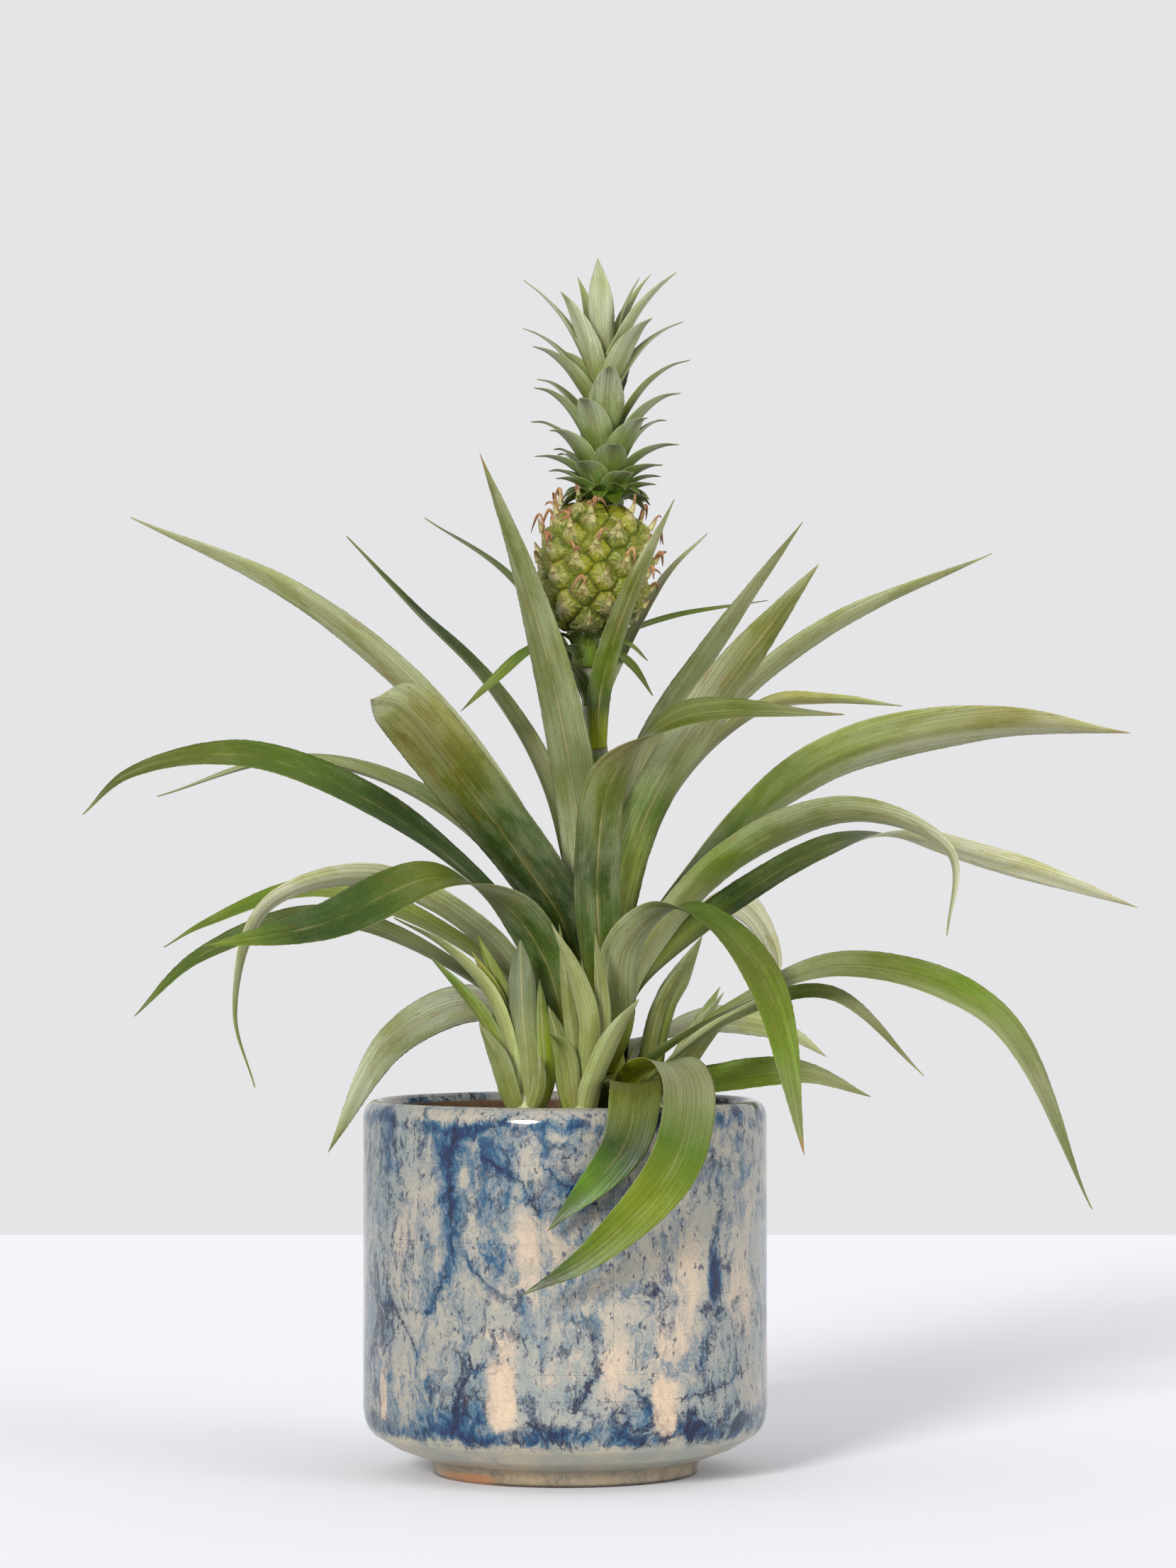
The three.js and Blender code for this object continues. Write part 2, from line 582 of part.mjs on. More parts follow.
function flowerGeometry(place) {
  const flower = new THREE.ConeGeometry(0.9, 7, 3);
  flower.rotateX(Math.PI / 2);
  flower.translate(0, 0, 3);
  flower.rotateX(0.5 * Math.sin(place.i * 2.1));
  return onSurface(flower, place, -2, 15 * DEGREE);
}

function fruitGeometry() {
  const places = fruitPlaces();
  const flowering = places.filter(({ i }) => i > 16 && i < FRUIT_EYES - 8 && i % 3 === 1);
  return geometryOf(joined([
    fruitBody(),
    ...places.map(eyeGeometry),
    ...places.map(beakGeometry),
    ...flowering.map(flowerGeometry),
  ]));
}

// Crown: blades round a tapering core. The small lowest ones arch out over the fruit, and the top ones stand up.
function crownCore() {
  const top = CROWN_HEIGHT * 0.72;
  return turned([[0, 0], [6, 0.7], [8.6, 4], [8.6, 14], [7, 32], [4.5, 50], [0, top]], 10);
}

function crownRadiusAt(height) {
  return Math.min(8.6, 8.6 - (height - 14) * 0.11);
}

// [bearing in degrees, height of the root, height of the tip, reach of the tip from the axis, width]
const CROWN_BLADES = [
  [-98, 48, 91, 9, 13],
  [138, 47, 86, 12, 9],
  [32, 47, 87, 22, 9],
  [15, 46, 85, 15, 8],
  [-20, 47, 85, 30, 11],
  [168, 43, 85, 30, 10],
  [-137, 41, 78, 21, 12],
  [95, 40, 80, 20, 11],
  [21, 39, 69, 33, 9],
  [165, 36, 67, 31, 10],
  [-46, 40, 67, 27, 12],
  [-155, 34, 58, 29, 12],
  [60, 33, 64, 28, 11],
  [125, 32, 60, 28, 11],
  [-4, 26, 53, 33, 11],
  [-84, 23, 49, 26, 13.5],
  [158, 24, 48, 27, 10],
  [-165, 21, 43, 27, 11],
  [-17, 19, 40, 30.5, 12],
  [80, 22, 46, 29, 11],
  [-111, 18, 37.5, 24, 13],
  [17, 14, 31.5, 25, 10],
  [169, 14, 31.5, 28, 10],
  [110, 16, 37, 28, 11],
  [-49, 12.5, 30, 25, 13],
  [-148, 11, 26.5, 24, 13],
  [164, 9.5, 21, 20, 9],
  [-13, 10, 21, 29, 11],
  [85, 10, 25, 26, 10],
  [-79, 6, 20, 22, 13.5],
  [-166, 8, 17.5, 27, 10],
  [135, 8, 20, 25, 10],
  [-117, 5, 14, 22, 12],
  [-29, 6, 13, 25, 11],
  [60, 7, 17, 23, 10],
  [164, 5.5, 13, 22, 9.5],
  [7, 5, 10, 21.5, 9.5],
  [105, 5, 12, 22, 10],
  [-157, 4.5, 9, 20, 10],
  [-62, 4, 10, 21, 11],
  [-13, 3, 6.5, 20, 9.5],
];

function crownFootBlade(i) {
  return [20 + i * GOLDEN_ANGLE / DEGREE, 2.2 + 0.2 * (i % 4), 5 + 0.9 * (i % 3), 17 + 1.1 * (i % 4), 9];
}

function crownBladeGeometry([bearing, root, tip, reach, width]) {
  const upright = Math.min(tip / 90, 1);
  const inner = Math.max(crownRadiusAt(root), 3) - 2;
  const spine = [
    [0, 0],
    [0.17, 0.38 - 0.08 * upright],
    [0.44, 0.8 - 0.18 * upright],
    [0.74, 1.02 - 0.17 * upright],
    [1, 1],
  ].map(([out, lift]) => {
    const distance = inner + (reach - inner) * out;
    const x = distance * Math.cos(bearing * DEGREE);
    const y = distance * Math.sin(bearing * DEGREE);
    return [x, y, root + (tip - root) * lift];
  });
  return bladeGeometry({
    spine,
    axis: [0, 0],
    width,
    roll: [0, 0],
    gutter: [35, 35, 30],
    baseWidth: 0.85,
    taperFrom: 0.25,
    thickness: 0.8,
    steps: 4,
    lanes: SMALL_LANES,
  });
}

function crownGeometry() {
  const rows = [...CROWN_BLADES];
  for (let i = 0; i < CROWN_FOOT_BLADES; i += 1) {
    rows.push(crownFootBlade(i));
  }
  return geometryOf(joined([crownCore(), ...rows.map(crownBladeGeometry)]));
}

// Collar: slim bracts under the fruit, fused to a sheath that clasps the stalk
const COLLAR_LOW = 298.5;
const COLLAR_HIGH = 310.2;
const COLLAR_BRACTS = [
  // [width, roll, points after the root]
  [3.2, [0, 40, 50], [[13, 9, 308], [23, 22, 313], [42, 37, 320], [78, 58, 327]]],
  [6.5, [0, -45, -60], [[-4, -2, 308], [-14, -2, 304], [-27, -2, 293], [-39, -2, 282]]],
  [4, [0, -45], [[-4, 6, 308], [-14, 8, 306], [-24, 10, 299]]],
  [4.5, [0, 50], [[17, 2, 308], [24, 2, 307], [31, 3, 301]]],
  [6, [0, 50, 55], [[15, 3, 305], [24, 5, 300], [33, 8, 288]]],
  [5, [0, 0], [[3, -8, 306], [-2, -12, 305], [-7, -14, 301]]],
];

function collarGeometry() {
  const inner = STALK_TOP_RADIUS + 0.4 + SEAT_GAP;
  const profile = [[inner, COLLAR_LOW], [inner + 0.7, COLLAR_LOW], [inner + 1, 305], [inner + 1.3, COLLAR_HIGH],
    [inner, COLLAR_HIGH], [inner, COLLAR_LOW]];
  const sheath = turned(profile, STEM_SIDES);
  const middle = stemAt((COLLAR_LOW + COLLAR_HIGH) / 2);
  sheath.translate(middle.x, 0, 0);
  const blades = COLLAR_BRACTS.map(([width, roll, spine]) => {
    const [x, y, z] = spine[0];
    const bearing = Math.atan2(y, x - middle.x);
    const root = [middle.x + (inner + 0.6) * Math.cos(bearing), (inner + 0.6) * Math.sin(bearing), z - 4];
    return bladeGeometry({
      spine: [root, ...spine],
      axis: [middle.x, 0],
      width,
      roll,
      gutter: [30, 30],
      baseWidth: 0.9,
      taperFrom: 0.35,
      thickness: 0.8,
      steps: 6,
      lanes: SMALL_LANES,
    });
  });
  return geometryOf(joined([sheath, ...blades]));
}

// The whole plant
addPiece('pot', turned(potProfile(), POT_SIDES), FINISH.glaze);
addPiece('soil', soilGeometry(), FINISH.soil);
addPiece('stem', stemGeometry(), FINISH.stalk);
addPiece('collar', collarGeometry(), FINISH.stalk);

const fruit = addPiece('fruit', fruitGeometry(), FINISH.fruit);
fruit.position.set(...FRUIT_CENTRE);
fruit.rotation.y = FRUIT_LEAN;

const crown = addPiece('crown', crownGeometry(), FINISH.crown);
crown.position.set(...CROWN_FOOT);
crown.rotation.y = CROWN_LEAN;

for (const shoot of SHOOTS) {
  addPiece(shoot.name, shootGeometry(shoot), FINISH.pup);
}
for (const [name, leaf] of Object.entries(LEAVES)) {
  addPiece(`leaf_${name}`, leafGeometry(leaf), FINISH.leaf);
}

export default plant;
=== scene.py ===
# %% [markdown]
# # A pineapple plant in a glazed pot
# The packed model gives the plant's solids in metres: right in size and place, and plain. Here a finer mesh
# replaces each of them and gets a finish made of nodes. The numbers below are millimetres, and MM turns
# them into metres.

# %% Load the frame
import math

import bpy
import numpy as np
from mathutils import Matrix, Vector


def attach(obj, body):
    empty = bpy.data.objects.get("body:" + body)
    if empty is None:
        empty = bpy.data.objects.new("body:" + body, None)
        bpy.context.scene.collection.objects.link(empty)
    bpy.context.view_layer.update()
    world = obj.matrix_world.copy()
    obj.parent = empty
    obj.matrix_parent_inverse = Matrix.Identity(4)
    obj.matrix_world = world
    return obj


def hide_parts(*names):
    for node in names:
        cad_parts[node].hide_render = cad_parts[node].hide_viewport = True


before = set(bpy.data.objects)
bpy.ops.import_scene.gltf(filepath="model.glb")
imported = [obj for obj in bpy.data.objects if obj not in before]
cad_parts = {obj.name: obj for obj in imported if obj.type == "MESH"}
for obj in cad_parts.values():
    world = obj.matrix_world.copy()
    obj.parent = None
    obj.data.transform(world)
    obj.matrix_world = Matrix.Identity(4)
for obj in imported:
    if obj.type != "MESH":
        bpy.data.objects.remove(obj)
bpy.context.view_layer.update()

MM = 0.001
BODY = "root"
GOLDEN_ANGLE = math.pi * (3 - math.sqrt(5))    # how far round a plant sets each leaf or eye from the last
print("nodes to dress:", len(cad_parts))

# %% [markdown]
# ## Camera
# A product photograph is taken from far away with a long lens. A camera close by would enlarge the near
# leaves and look down into the pot. This one stands 1.8 m in front, level with the middle of the plant, and
# looks up by about one degree.

# %% Camera
CAMERA_PLACE = (8.5, -1787, 219)
CAMERA_PITCH = 1.16     # degrees upwards
FOCAL_LENGTH = 110.3
SENSOR_LENGTH = 36      # the long side of the picture

lens = bpy.data.cameras.new("studio_camera")
lens.lens = FOCAL_LENGTH
lens.sensor_width = SENSOR_LENGTH
camera = bpy.data.objects.new("studio_camera", lens)
camera.location = Vector(CAMERA_PLACE) * MM
camera.rotation_euler = (math.radians(90 + CAMERA_PITCH), 0, 0)
bpy.context.collection.objects.link(camera)
bpy.context.scene.camera = camera
print("camera distance:", -CAMERA_PLACE[1], "mm")

# %% [markdown]
# ## Colours under this light
# A colour in a photograph is what the light made of a surface, and not the surface's own. Trial renders
# could find each one. Here it was measured once how much this studio brightens a surface and how much white
# its gloss adds, and one function takes both off.

# %% Colour helper
LIGHT_SHARE = 0.64      # a surface is lit so brightly that its own colour has to be darker than it looks
GLOSS_VEIL = 0.030      # the white of the studio, mirrored faintly everywhere
DARKEST = 0.004


def colour_of(code):
    """The surface colour that looks like the screen colour "rrggbb" in this studio."""
    channels = [int(code[i:i + 2], 16) / 255 for i in (0, 2, 4)]
    linear = [c / 12.92 if c <= 0.04045 else ((c + 0.055) / 1.055) ** 2.4 for c in channels]
    return (*[max(LIGHT_SHARE * (c - GLOSS_VEIL), DARKEST) for c in linear], 1.0)


print("a middle grey is set to:", round(colour_of("808080")[0], 3))

# %% [markdown]
# ## Finishes as recipes
# A finish is a tree of nodes. Written out one call at a time it is hard to read, and drawn by hand it can't
# be repeated. These helpers each add a node and return its output, so a finish reads from top to bottom
# like a recipe.


# %% Node helpers
class Recipe:
    """One material and the calls that fill its node tree."""

    def __init__(self, name):
        self.material = bpy.data.materials.new(name)
        self.material.use_nodes = True
        self.tree = self.material.node_tree
        self.surface = self.tree.nodes["Principled BSDF"]

    def put(self, socket, value):
        if isinstance(value, bpy.types.NodeSocket):
            self.tree.links.new(value, socket)
        else:
            socket.default_value = value

    def node(self, kind, inputs=(), **settings):
        made = self.tree.nodes.new(kind)
        for key, value in settings.items():
            setattr(made, key, value)
        for key, value in dict(inputs).items():
            self.put(made.inputs[key], value)
        return made

    def attribute(self, name, output="Fac"):
        return self.node("ShaderNodeAttribute", attribute_name=name).outputs[output]

    def place(self):
        """Where the point is on the object, in metres."""
        return self.node("ShaderNodeTexCoord").outputs["Object"]

    def part_of(self, vector, axis):
        return self.node("ShaderNodeSeparateXYZ", {0: vector}).outputs[axis]

    def height(self, place):
        """How high the point is, in millimetres."""
        return self.math("MULTIPLY", self.part_of(place, 2), 1 / MM)

    def math(self, operation, a, b=0.0):
        return self.node("ShaderNodeMath", {0: a, 1: b}, operation=operation).outputs[0]

    def add(self, *values):
        total = values[0]
        for value in values[1:]:
            total = self.math("ADD", total, value)
        return total

    def times(self, a, b):
        return self.math("MULTIPLY", a, b)

    def distance(self, a, b):
        """How far a is from b, whichever is larger."""
        return self.math("ABSOLUTE", self.math("SUBTRACT", a, b))

    def vector_math(self, operation, a, b=(0, 0, 0), c=(0, 0, 0)):
        return self.node("ShaderNodeVectorMath", {0: a, 1: b, 2: c}, operation=operation).outputs[0]

    def stretch(self, vector, scale):
        return self.node("ShaderNodeMapping", {"Vector": vector, "Scale": scale}).outputs[0]

    def noise(self, vector, scale=1.0, detail=3.0, roughness=0.5, output="Fac"):
        inputs = {"Vector": vector, "Scale": scale, "Detail": detail, "Roughness": roughness}
        return self.node("ShaderNodeTexNoise", inputs).outputs[output]

    def step(self, value, low, high, start=0.0, end=1.0):
        """Goes smoothly from start to end while value goes from low to high."""
        inputs = {"Value": value, "From Min": low, "From Max": high, "To Min": start, "To Max": end}
        return self.node("ShaderNodeMapRange", inputs, interpolation_type="SMOOTHSTEP").outputs[0]

    def mix(self, share, a, b, blend="MIX"):
        made = self.node("ShaderNodeMix", data_type="RGBA", blend_type=blend)
        for index, value in ((0, share), (6, a), (7, b)):
            self.put(made.inputs[index], value)
        return made.outputs[2]

    def paint(self, colour, share, code):
        """The colour with a share of the screen colour "rrggbb" over it."""
        return self.mix(share, colour, colour_of(code))

    def brightness(self, colour, factor):
        """The colour times a number that changes over the surface."""
        return self.node("ShaderNodeVectorMath", {0: colour, 3: factor}, operation="SCALE").outputs[0]

    def bump(self, height, strength, distance):
        inputs = {"Height": height, "Strength": strength, "Distance": distance * MM}
        return self.node("ShaderNodeBump", inputs).outputs[0]

    def finish(self, **sockets):
        for key, value in sockets.items():
            self.put(self.surface.inputs[key.replace("_", " ")], value)
        return self.material


print("node helpers:", ", ".join(name for name in vars(Recipe) if not name.startswith("_")))

# %% [markdown]
# ## Wall
# Behind the plant is a plain pale wall, and soft light comes from every side. Walls and large lamps could
# be built for that. The world does both here: it fills the background with one even colour and lights the
# plant from all round.

# %% Wall
WALL_COLOUR = (1.0, 1.0, 1.016, 1.0)
WALL_LIGHT = 0.783

bpy.context.scene.view_settings.view_transform = "Standard"
world = bpy.data.worlds.new("pale_wall")
world.use_nodes = True
wall = world.node_tree.nodes["Background"]
wall.inputs["Color"].default_value = WALL_COLOUR
wall.inputs["Strength"].default_value = WALL_LIGHT
bpy.context.scene.world = world
print("wall light:", WALL_LIGHT)

# %% [markdown]
# ## Floor
# The floor is paler than the wall and ends behind the pot in a straight line. One large matt square gives
# both and takes the soft shadow. It isn't attached to the plant's body, and is no part of the plant.

# %% Floor
FLOOR_FAR_EDGE = 1194
FLOOR_REACH = 9000
FLOOR_COLOUR = (0.735, 0.74, 0.765, 1)

floor_mesh = bpy.data.meshes.new("floor")
corners = [(-FLOOR_REACH, -FLOOR_REACH), (FLOOR_REACH, -FLOOR_REACH), (FLOOR_REACH, FLOOR_FAR_EDGE),
           (-FLOOR_REACH, FLOOR_FAR_EDGE)]
floor_mesh.from_pydata([(x * MM, y * MM, 0) for x, y in corners], [], [(0, 1, 2, 3)])
floor = bpy.data.objects.new("floor", floor_mesh)
bpy.context.collection.objects.link(floor)
floor.data.materials.append(Recipe("matt_floor").finish(
    Base_Color=FLOOR_COLOUR, Roughness=0.9, Specular_IOR_Level=0.1))
print("floor ends", FLOOR_FAR_EDGE, "mm behind the pot's middle")

# %% [markdown]
# ## Lamps
# The shadow lies behind the pot on the right, so the main light comes from the front left. Area lamps would
# fade along the floor, so both lamps are suns, wide enough to soften the shadow. The glaze doesn't mirror
# the low fill.

# %% Lamps
LAMPS = {  # place that it shines from, width as an angle in degrees, power
    "key": ((-740, -1700, 900), 14, 3.3),
    "fill_right": ((1600, -1100, 340), 40, 2.9),
}
PLANT_MIDDLE = Vector((10, 0, 220))


def add_lamp(name, place, width, power):
    light = bpy.data.lights.new(name, "SUN")
    light.angle = math.radians(width)
    light.energy = power
    lamp = bpy.data.objects.new(name, light)
    lamp.location = Vector(place) * MM
    lamp.rotation_euler = (PLANT_MIDDLE - Vector(place)).to_track_quat("-Z", "Y").to_euler()
    bpy.context.collection.objects.link(lamp)
    return lamp


lamps = {name: add_lamp(name, *values) for name, values in LAMPS.items()}
lamps["fill_right"].visible_glossy = False
print("lamps:", ", ".join(lamps))

# %% [markdown]
# ## From numbers to a mesh
# Each piece is worked out with numpy as a table of points and a list of faces. Modelling by hand would take
# days, and modifiers would hide the measures. This helper makes the object, carries further numbers on its
# points for the finishes, attaches it to the plant's body and hides the solid that it stands for.

# %% Mesh helper
ATTRIBUTE_KINDS = {1: ("FLOAT", "value"), 3: ("FLOAT_VECTOR", "vector"), 4: ("FLOAT_COLOR", "color")}


def add_piece(name, points, faces, materials, node, numbers=None, face_material=None, place=None):
    """points in millimetres; numbers is {attribute: one number, vector or colour a point}."""
    points = np.asarray(points, float)
    if place is not None:
        points = (np.array(place.to_3x3()) @ points.T).T + np.array(place.translation)
    mesh = bpy.data.meshes.new(name)
    mesh.from_pydata((points * MM).tolist(), [], faces)
    for material in materials:
        mesh.materials.append(material)
    if face_material is not None:
        mesh.polygons.foreach_set("material_index", np.asarray(face_material, np.int32))
    for key, values in (numbers or {}).items():
        values = np.asarray(values, np.float32)
        kind, field = ATTRIBUTE_KINDS[1 if values.ndim == 1 else values.shape[1]]
        mesh.attributes.new(key, kind, "POINT").data.foreach_set(field, values.ravel())
    mesh.polygons.foreach_set("use_smooth", np.ones(len(mesh.polygons), bool))
    mesh.update()
    piece = bpy.data.objects.new(name, mesh)
    bpy.context.collection.objects.link(piece)
    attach(piece, BODY)
    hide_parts(node)
    return piece


print("a point can carry:", ", ".join(field for kind, field in ATTRIBUTE_KINDS.values()))

# %% [markdown]
# ## A smooth curve through a few points
# A leaf's path is given by a few points. A Bezier curve would need two handles at each. The centripetal
# Catmull-Rom curve goes through all of them without loops, and the solids were made with it too, so the
# fine leaf follows the plain one.

# %% Curve helper
CURVE_STEPS = 60    # from one given point to the next


def smooth_curve(points, count):
    """count + 1 evenly spaced points on the curve, the direction at each, and the curve's length."""
    p = np.array(points, float)
    p = np.vstack([2 * p[0] - p[1], p, 2 * p[-1] - p[-2]])
    fine = []
    for a, b, c, d in zip(p, p[1:], p[2:], p[3:]):
        ab, bc, cd = (np.linalg.norm(q - r) ** 0.5 for q, r in ((a, b), (b, c), (c, d)))
        leave = ((b - a) / ab - (c - a) / (ab + bc) + (c - b) / bc) * bc
        arrive = ((c - b) / bc - (d - b) / (bc + cd) + (d - c) / cd) * bc
        u = np.linspace(0, 1, CURVE_STEPS, endpoint=False)[:, None]
        fine.append(b + leave * u + (-3 * b + 3 * c - 2 * leave - arrive) * u ** 2
                    + (2 * b - 2 * c + leave + arrive) * u ** 3)
    fine = np.vstack(fine + [p[-2:-1]])
    run = np.concatenate([[0], np.cumsum(np.linalg.norm(np.diff(fine, axis=0), axis=1))])
    at = np.linspace(0, run[-1], count + 1)
    centre = np.stack([np.interp(at, run, fine[:, k]) for k in range(3)], axis=1)
    ahead = np.gradient(centre, axis=0)
    return centre, ahead / np.linalg.norm(ahead, axis=1)[:, None], run[-1]


def smooth_list(values, count, blur=0.05):
    """A short list spread over count + 1 places, with its corners rounded."""
    t = np.linspace(0, 1, count + 1)
    wide = np.interp(t, np.linspace(0, 1, len(values)), values)
    reach = max(1, int(blur * count))
    kernel = np.hanning(2 * reach + 1)
    padded = np.concatenate([np.full(reach, wide[0]), wide, np.full(reach, wide[-1])])
    return np.convolve(padded, kernel / kernel.sum(), "valid")


print("length of a curve through (0, 0), (1, 1) and (2, 0):",
      round(smooth_curve([(0, 0, 0), (1, 1, 0), (2, 0, 0)], 20)[2], 2))

# %% [markdown]
# ## Blades
# Every leaf is a strap that is hollow on its upper face, as a gutter is, and tapers to a point. Near the
# stem it curls round the stem. A flat strip with a bend modifier can't do that and turn over as well, so
# each row of points is laid out across the leaf's middle line.


# %% Outline of a blade
def blade_outline(t, base_width, taper_from):
    """The share of its width that the blade has at t, from its narrower foot at 0 to its point at 1."""
    growth = np.minimum(t / 0.25, 1)
    base = base_width + (1 - base_width) * growth * growth * (3 - 2 * growth)
    taper = np.cos(np.pi / 2 * np.clip((t - taper_from) / (1 - taper_from), 0, 1))
    return base * taper


def blade_directions(centre, ahead, axis, bearing, roll):
    """At each row the direction across the blade, the one that its upper face looks in, and the distance
    to the stem's axis."""
    rows = len(centre)
    from_axis = centre[:, :2] - np.array(axis)
    aim = np.arctan2(from_axis[:, 1], from_axis[:, 0])
    if bearing is not None:
        aim = np.full(rows, math.radians(bearing))
    side = np.stack([-np.sin(aim), np.cos(aim), np.zeros(rows)], axis=1)
    side -= ahead * (side * ahead).sum(1)[:, None]
    side /= np.linalg.norm(side, axis=1)[:, None]
    turn = np.radians(smooth_list(roll, rows)[:-1])[:, None]
    side = side * np.cos(turn) + np.cross(ahead, side) * np.sin(turn)
    return side, np.cross(ahead, side), np.linalg.norm(from_axis, axis=1)


half_way = blade_outline(np.array([0.5]), 0.5, 0.35)[0]
print("share of its width that a blade keeps half way:", round(half_way, 2))

# %% [markdown]
# ## What the points of a blade carry
# Veins run along a leaf however it bends. An unwrapped map could hold them. Here each point simply carries
# where it lies on the flat leaf in millimetres, how near the margin it is, and how far along, and the
# finish reads these three.

# %% Numbers and faces of a blade
LEAF_SHIFT = 7.3    # moves each leaf to its own part of the noise


def blade_numbers(v, half, t, length, size, seed):
    rows = len(t)
    spread = np.concatenate([v, v[1:-1]])
    flat = np.stack([spread[None] * half[:, None], np.repeat(t[:, None] * length, size, 1),
                     np.full((rows, size), seed * LEAF_SHIFT)], axis=2).reshape(-1, 3)
    return {
        "flat": np.vstack([flat, [0, length, seed * LEAF_SHIFT]]),
        "edge": np.concatenate([np.tile(np.abs(spread), rows), [1]]),
        "place": np.concatenate([np.repeat(t, size), [1]]),
    }


def blade_faces(rows, lanes, size):
    """Quads from row to row, triangles at the tip and a cap at the foot. Material 1 is the lower face."""
    top = list(range(lanes + 1))
    under = [0] + list(range(lanes + 1, size)) + [lanes]
    faces, face_material = [], []
    for number, strip in enumerate((top, under)):
        for i in range(lanes):
            a, b = (strip[i], strip[i + 1]) if number == 0 else (strip[i + 1], strip[i])
            for row in range(rows - 1):
                faces.append((row * size + a, (row + 1) * size + a, (row + 1) * size + b, row * size + b))
            faces.append(((rows - 1) * size + a, rows * size, (rows - 1) * size + b))
            face_material += [number] * rows
    for i in range(lanes):
        faces.append(tuple(dict.fromkeys((top[i], top[i + 1], under[i + 1], under[i]))))
        face_material.append(0)
    return faces, face_material


print("faces of a blade with 100 rows:", len(blade_faces(100, 10, 20)[0]))

# %% [markdown]
# ## Putting a blade together
# The section of a leaf is an arc, thin at its margins, and the margin has fine teeth and a slight ripple.
# Both come from random numbers with a fixed seed, so every leaf is different and the same each time the
# script runs.

# %% Blade helper
THINNING = 0.35          # how much of its thickness a blade loses from foot to tip
TOOTH_HEIGHT = 0.16
TOOTHLESS_SHARE = 0.12   # the foot has no teeth


def blade(spine, axis, width, roll, gutter, base_width, taper_from, thickness, row_length, lanes,
          bearing=None, teeth=TOOTH_HEIGHT, ripple=0.0, seed=0):
    """A closed blade as (points, faces, face material, numbers)."""
    rows = max(12, int(smooth_curve(spine, 40)[2] / row_length))
    centre, ahead, length = smooth_curve(spine, rows)
    tip = centre[-1]
    centre, ahead = centre[:-1], ahead[:-1]
    t = np.linspace(0, 1, rows + 1)[:-1]
    side, up, reach = blade_directions(centre, ahead, axis, bearing, roll)
    half = width / 2 * blade_outline(t, base_width, taper_from)
    curl = np.clip(np.maximum(np.radians(smooth_list(gutter, rows)[:-1]), half / reach), 0.05, 1.5)
    thick = thickness * (1 - THINNING * t)
    rng = np.random.default_rng(seed)
    phase = rng.uniform(0, 6.28, 4)
    wave = ripple * (np.sin(t * length / 9 + phase[0]) + 0.6 * np.sin(t * length / 5.3 + phase[1]))
    tooth = teeth * rng.uniform(-0.4, 1, (2, rows)) * np.minimum(half / 2, 1) * (t > TOOTHLESS_SHARE)

    v = np.sin(np.linspace(-1, 1, lanes + 1) * np.pi / 2)    # closer together towards the margins
    across = half[:, None] * np.sin(curl[:, None] * v) / curl[:, None]
    rise = half[:, None] * (1 - np.cos(curl[:, None] * v)) / curl[:, None]
    rise = rise + wave[:, None] * np.abs(v) ** 2 * np.sign(v)
    depth = thick[:, None] / 2 * np.sqrt(1 - v * v)
    across[:, 0] -= tooth[0]
    across[:, -1] += tooth[1]

    def lay(lift, columns):
        return (centre[:, None] + side[:, None] * across[:, columns, None]
                + up[:, None] * (rise + lift)[:, columns, None])

    ring = np.concatenate([lay(depth, slice(None)), lay(-depth, slice(1, -1))], axis=1)
    size = ring.shape[1]
    faces, face_material = blade_faces(rows, lanes, size)
    numbers = blade_numbers(v, half, t, length, size, seed)
    return np.vstack([ring.reshape(-1, 3), tip]), faces, face_material, numbers


trial = blade([(0, 0, 0), (0, 0, 50)], (-5, 0), 10, [0, 0], [30, 30], 0.7, 0.4, 1.0, row_length=1, lanes=10)
print("faces of a blade that is 50 mm long:", len(trial[1]))

# %% [markdown]
# ## Tints
# A leaf changes colour from its yellow-green foot to its dry tip. One gradient for all would make them
# alike, and a painted texture would be an image. So each leaf names a few of these tints in order, and they
# are blended along it and carried on its points.

# %% Tints
# Each leaf's tints are set for where it stands: parts in shade or turned from the light get lighter tints,
# which is painted light.
TINT = {key: np.array(colour_of(code)) for key, code in {
    "cream": "c9cf9a", "butter": "b0b264", "lime": "93a42e", "yellow": "a3a41e", "bright": "76902c",
    "leafy": "85953a", "green": "5c7230", "deep": "4a5c28", "dusky": "55603a", "grey": "7f875c",
    "pale": "999d70", "silver": "a9ad84", "frost": "bdbe9c", "olive": "7d7c48", "moss": "67713a",
    "tan": "a2966b", "brown": "8a6a45", "rust": "b0703a", "plum": "75605c", "fern": "96a458",
    "grass": "6f8438", "forest": "435217", "mealy": "8a8c68", "sage": "adb27a", "straw": "bdb970",
    "khaki": "a29e62", "hazel": "727535", "bone": "dcdab8", "chalk": "efeccb", "bottle": "3b4a10",
    # The brightest yellow tint begins the leaves whose feet lie in deep shade. It is partly their yellow foot
    # and partly painted light, for light shining through the leaf.
    "spring": "7a8832", "meadow": "687a1e", "citron": "bcc22e", "vivid": "62841f", "ash": "858e72",
    "mist": "c3caa8",
}.items()}
LAST_TINT_FROM = 0.96    # the last tint colours only the tip


def tints_along(names, t):
    """The colour at each t. The last tint is the tip's, and the others are spread evenly before it."""
    keys = np.array([TINT[name] for name in names.split()])
    places = np.array([0, 1])
    if len(keys) > 2:
        places = np.append(np.linspace(0, LAST_TINT_FROM, len(keys) - 1), 1)
    return np.stack([np.interp(t, places, keys[:, k]) for k in range(4)], axis=1)


print("tints:", len(TINT))

# %% [markdown]
# ## Marks on a leaf
# A leaf has ribs, a keel, pale scales, brown flecks, dry stretches and a pale margin. They look alike from
# leaf to leaf, so each mark has one colour, and only the tints beneath it change.

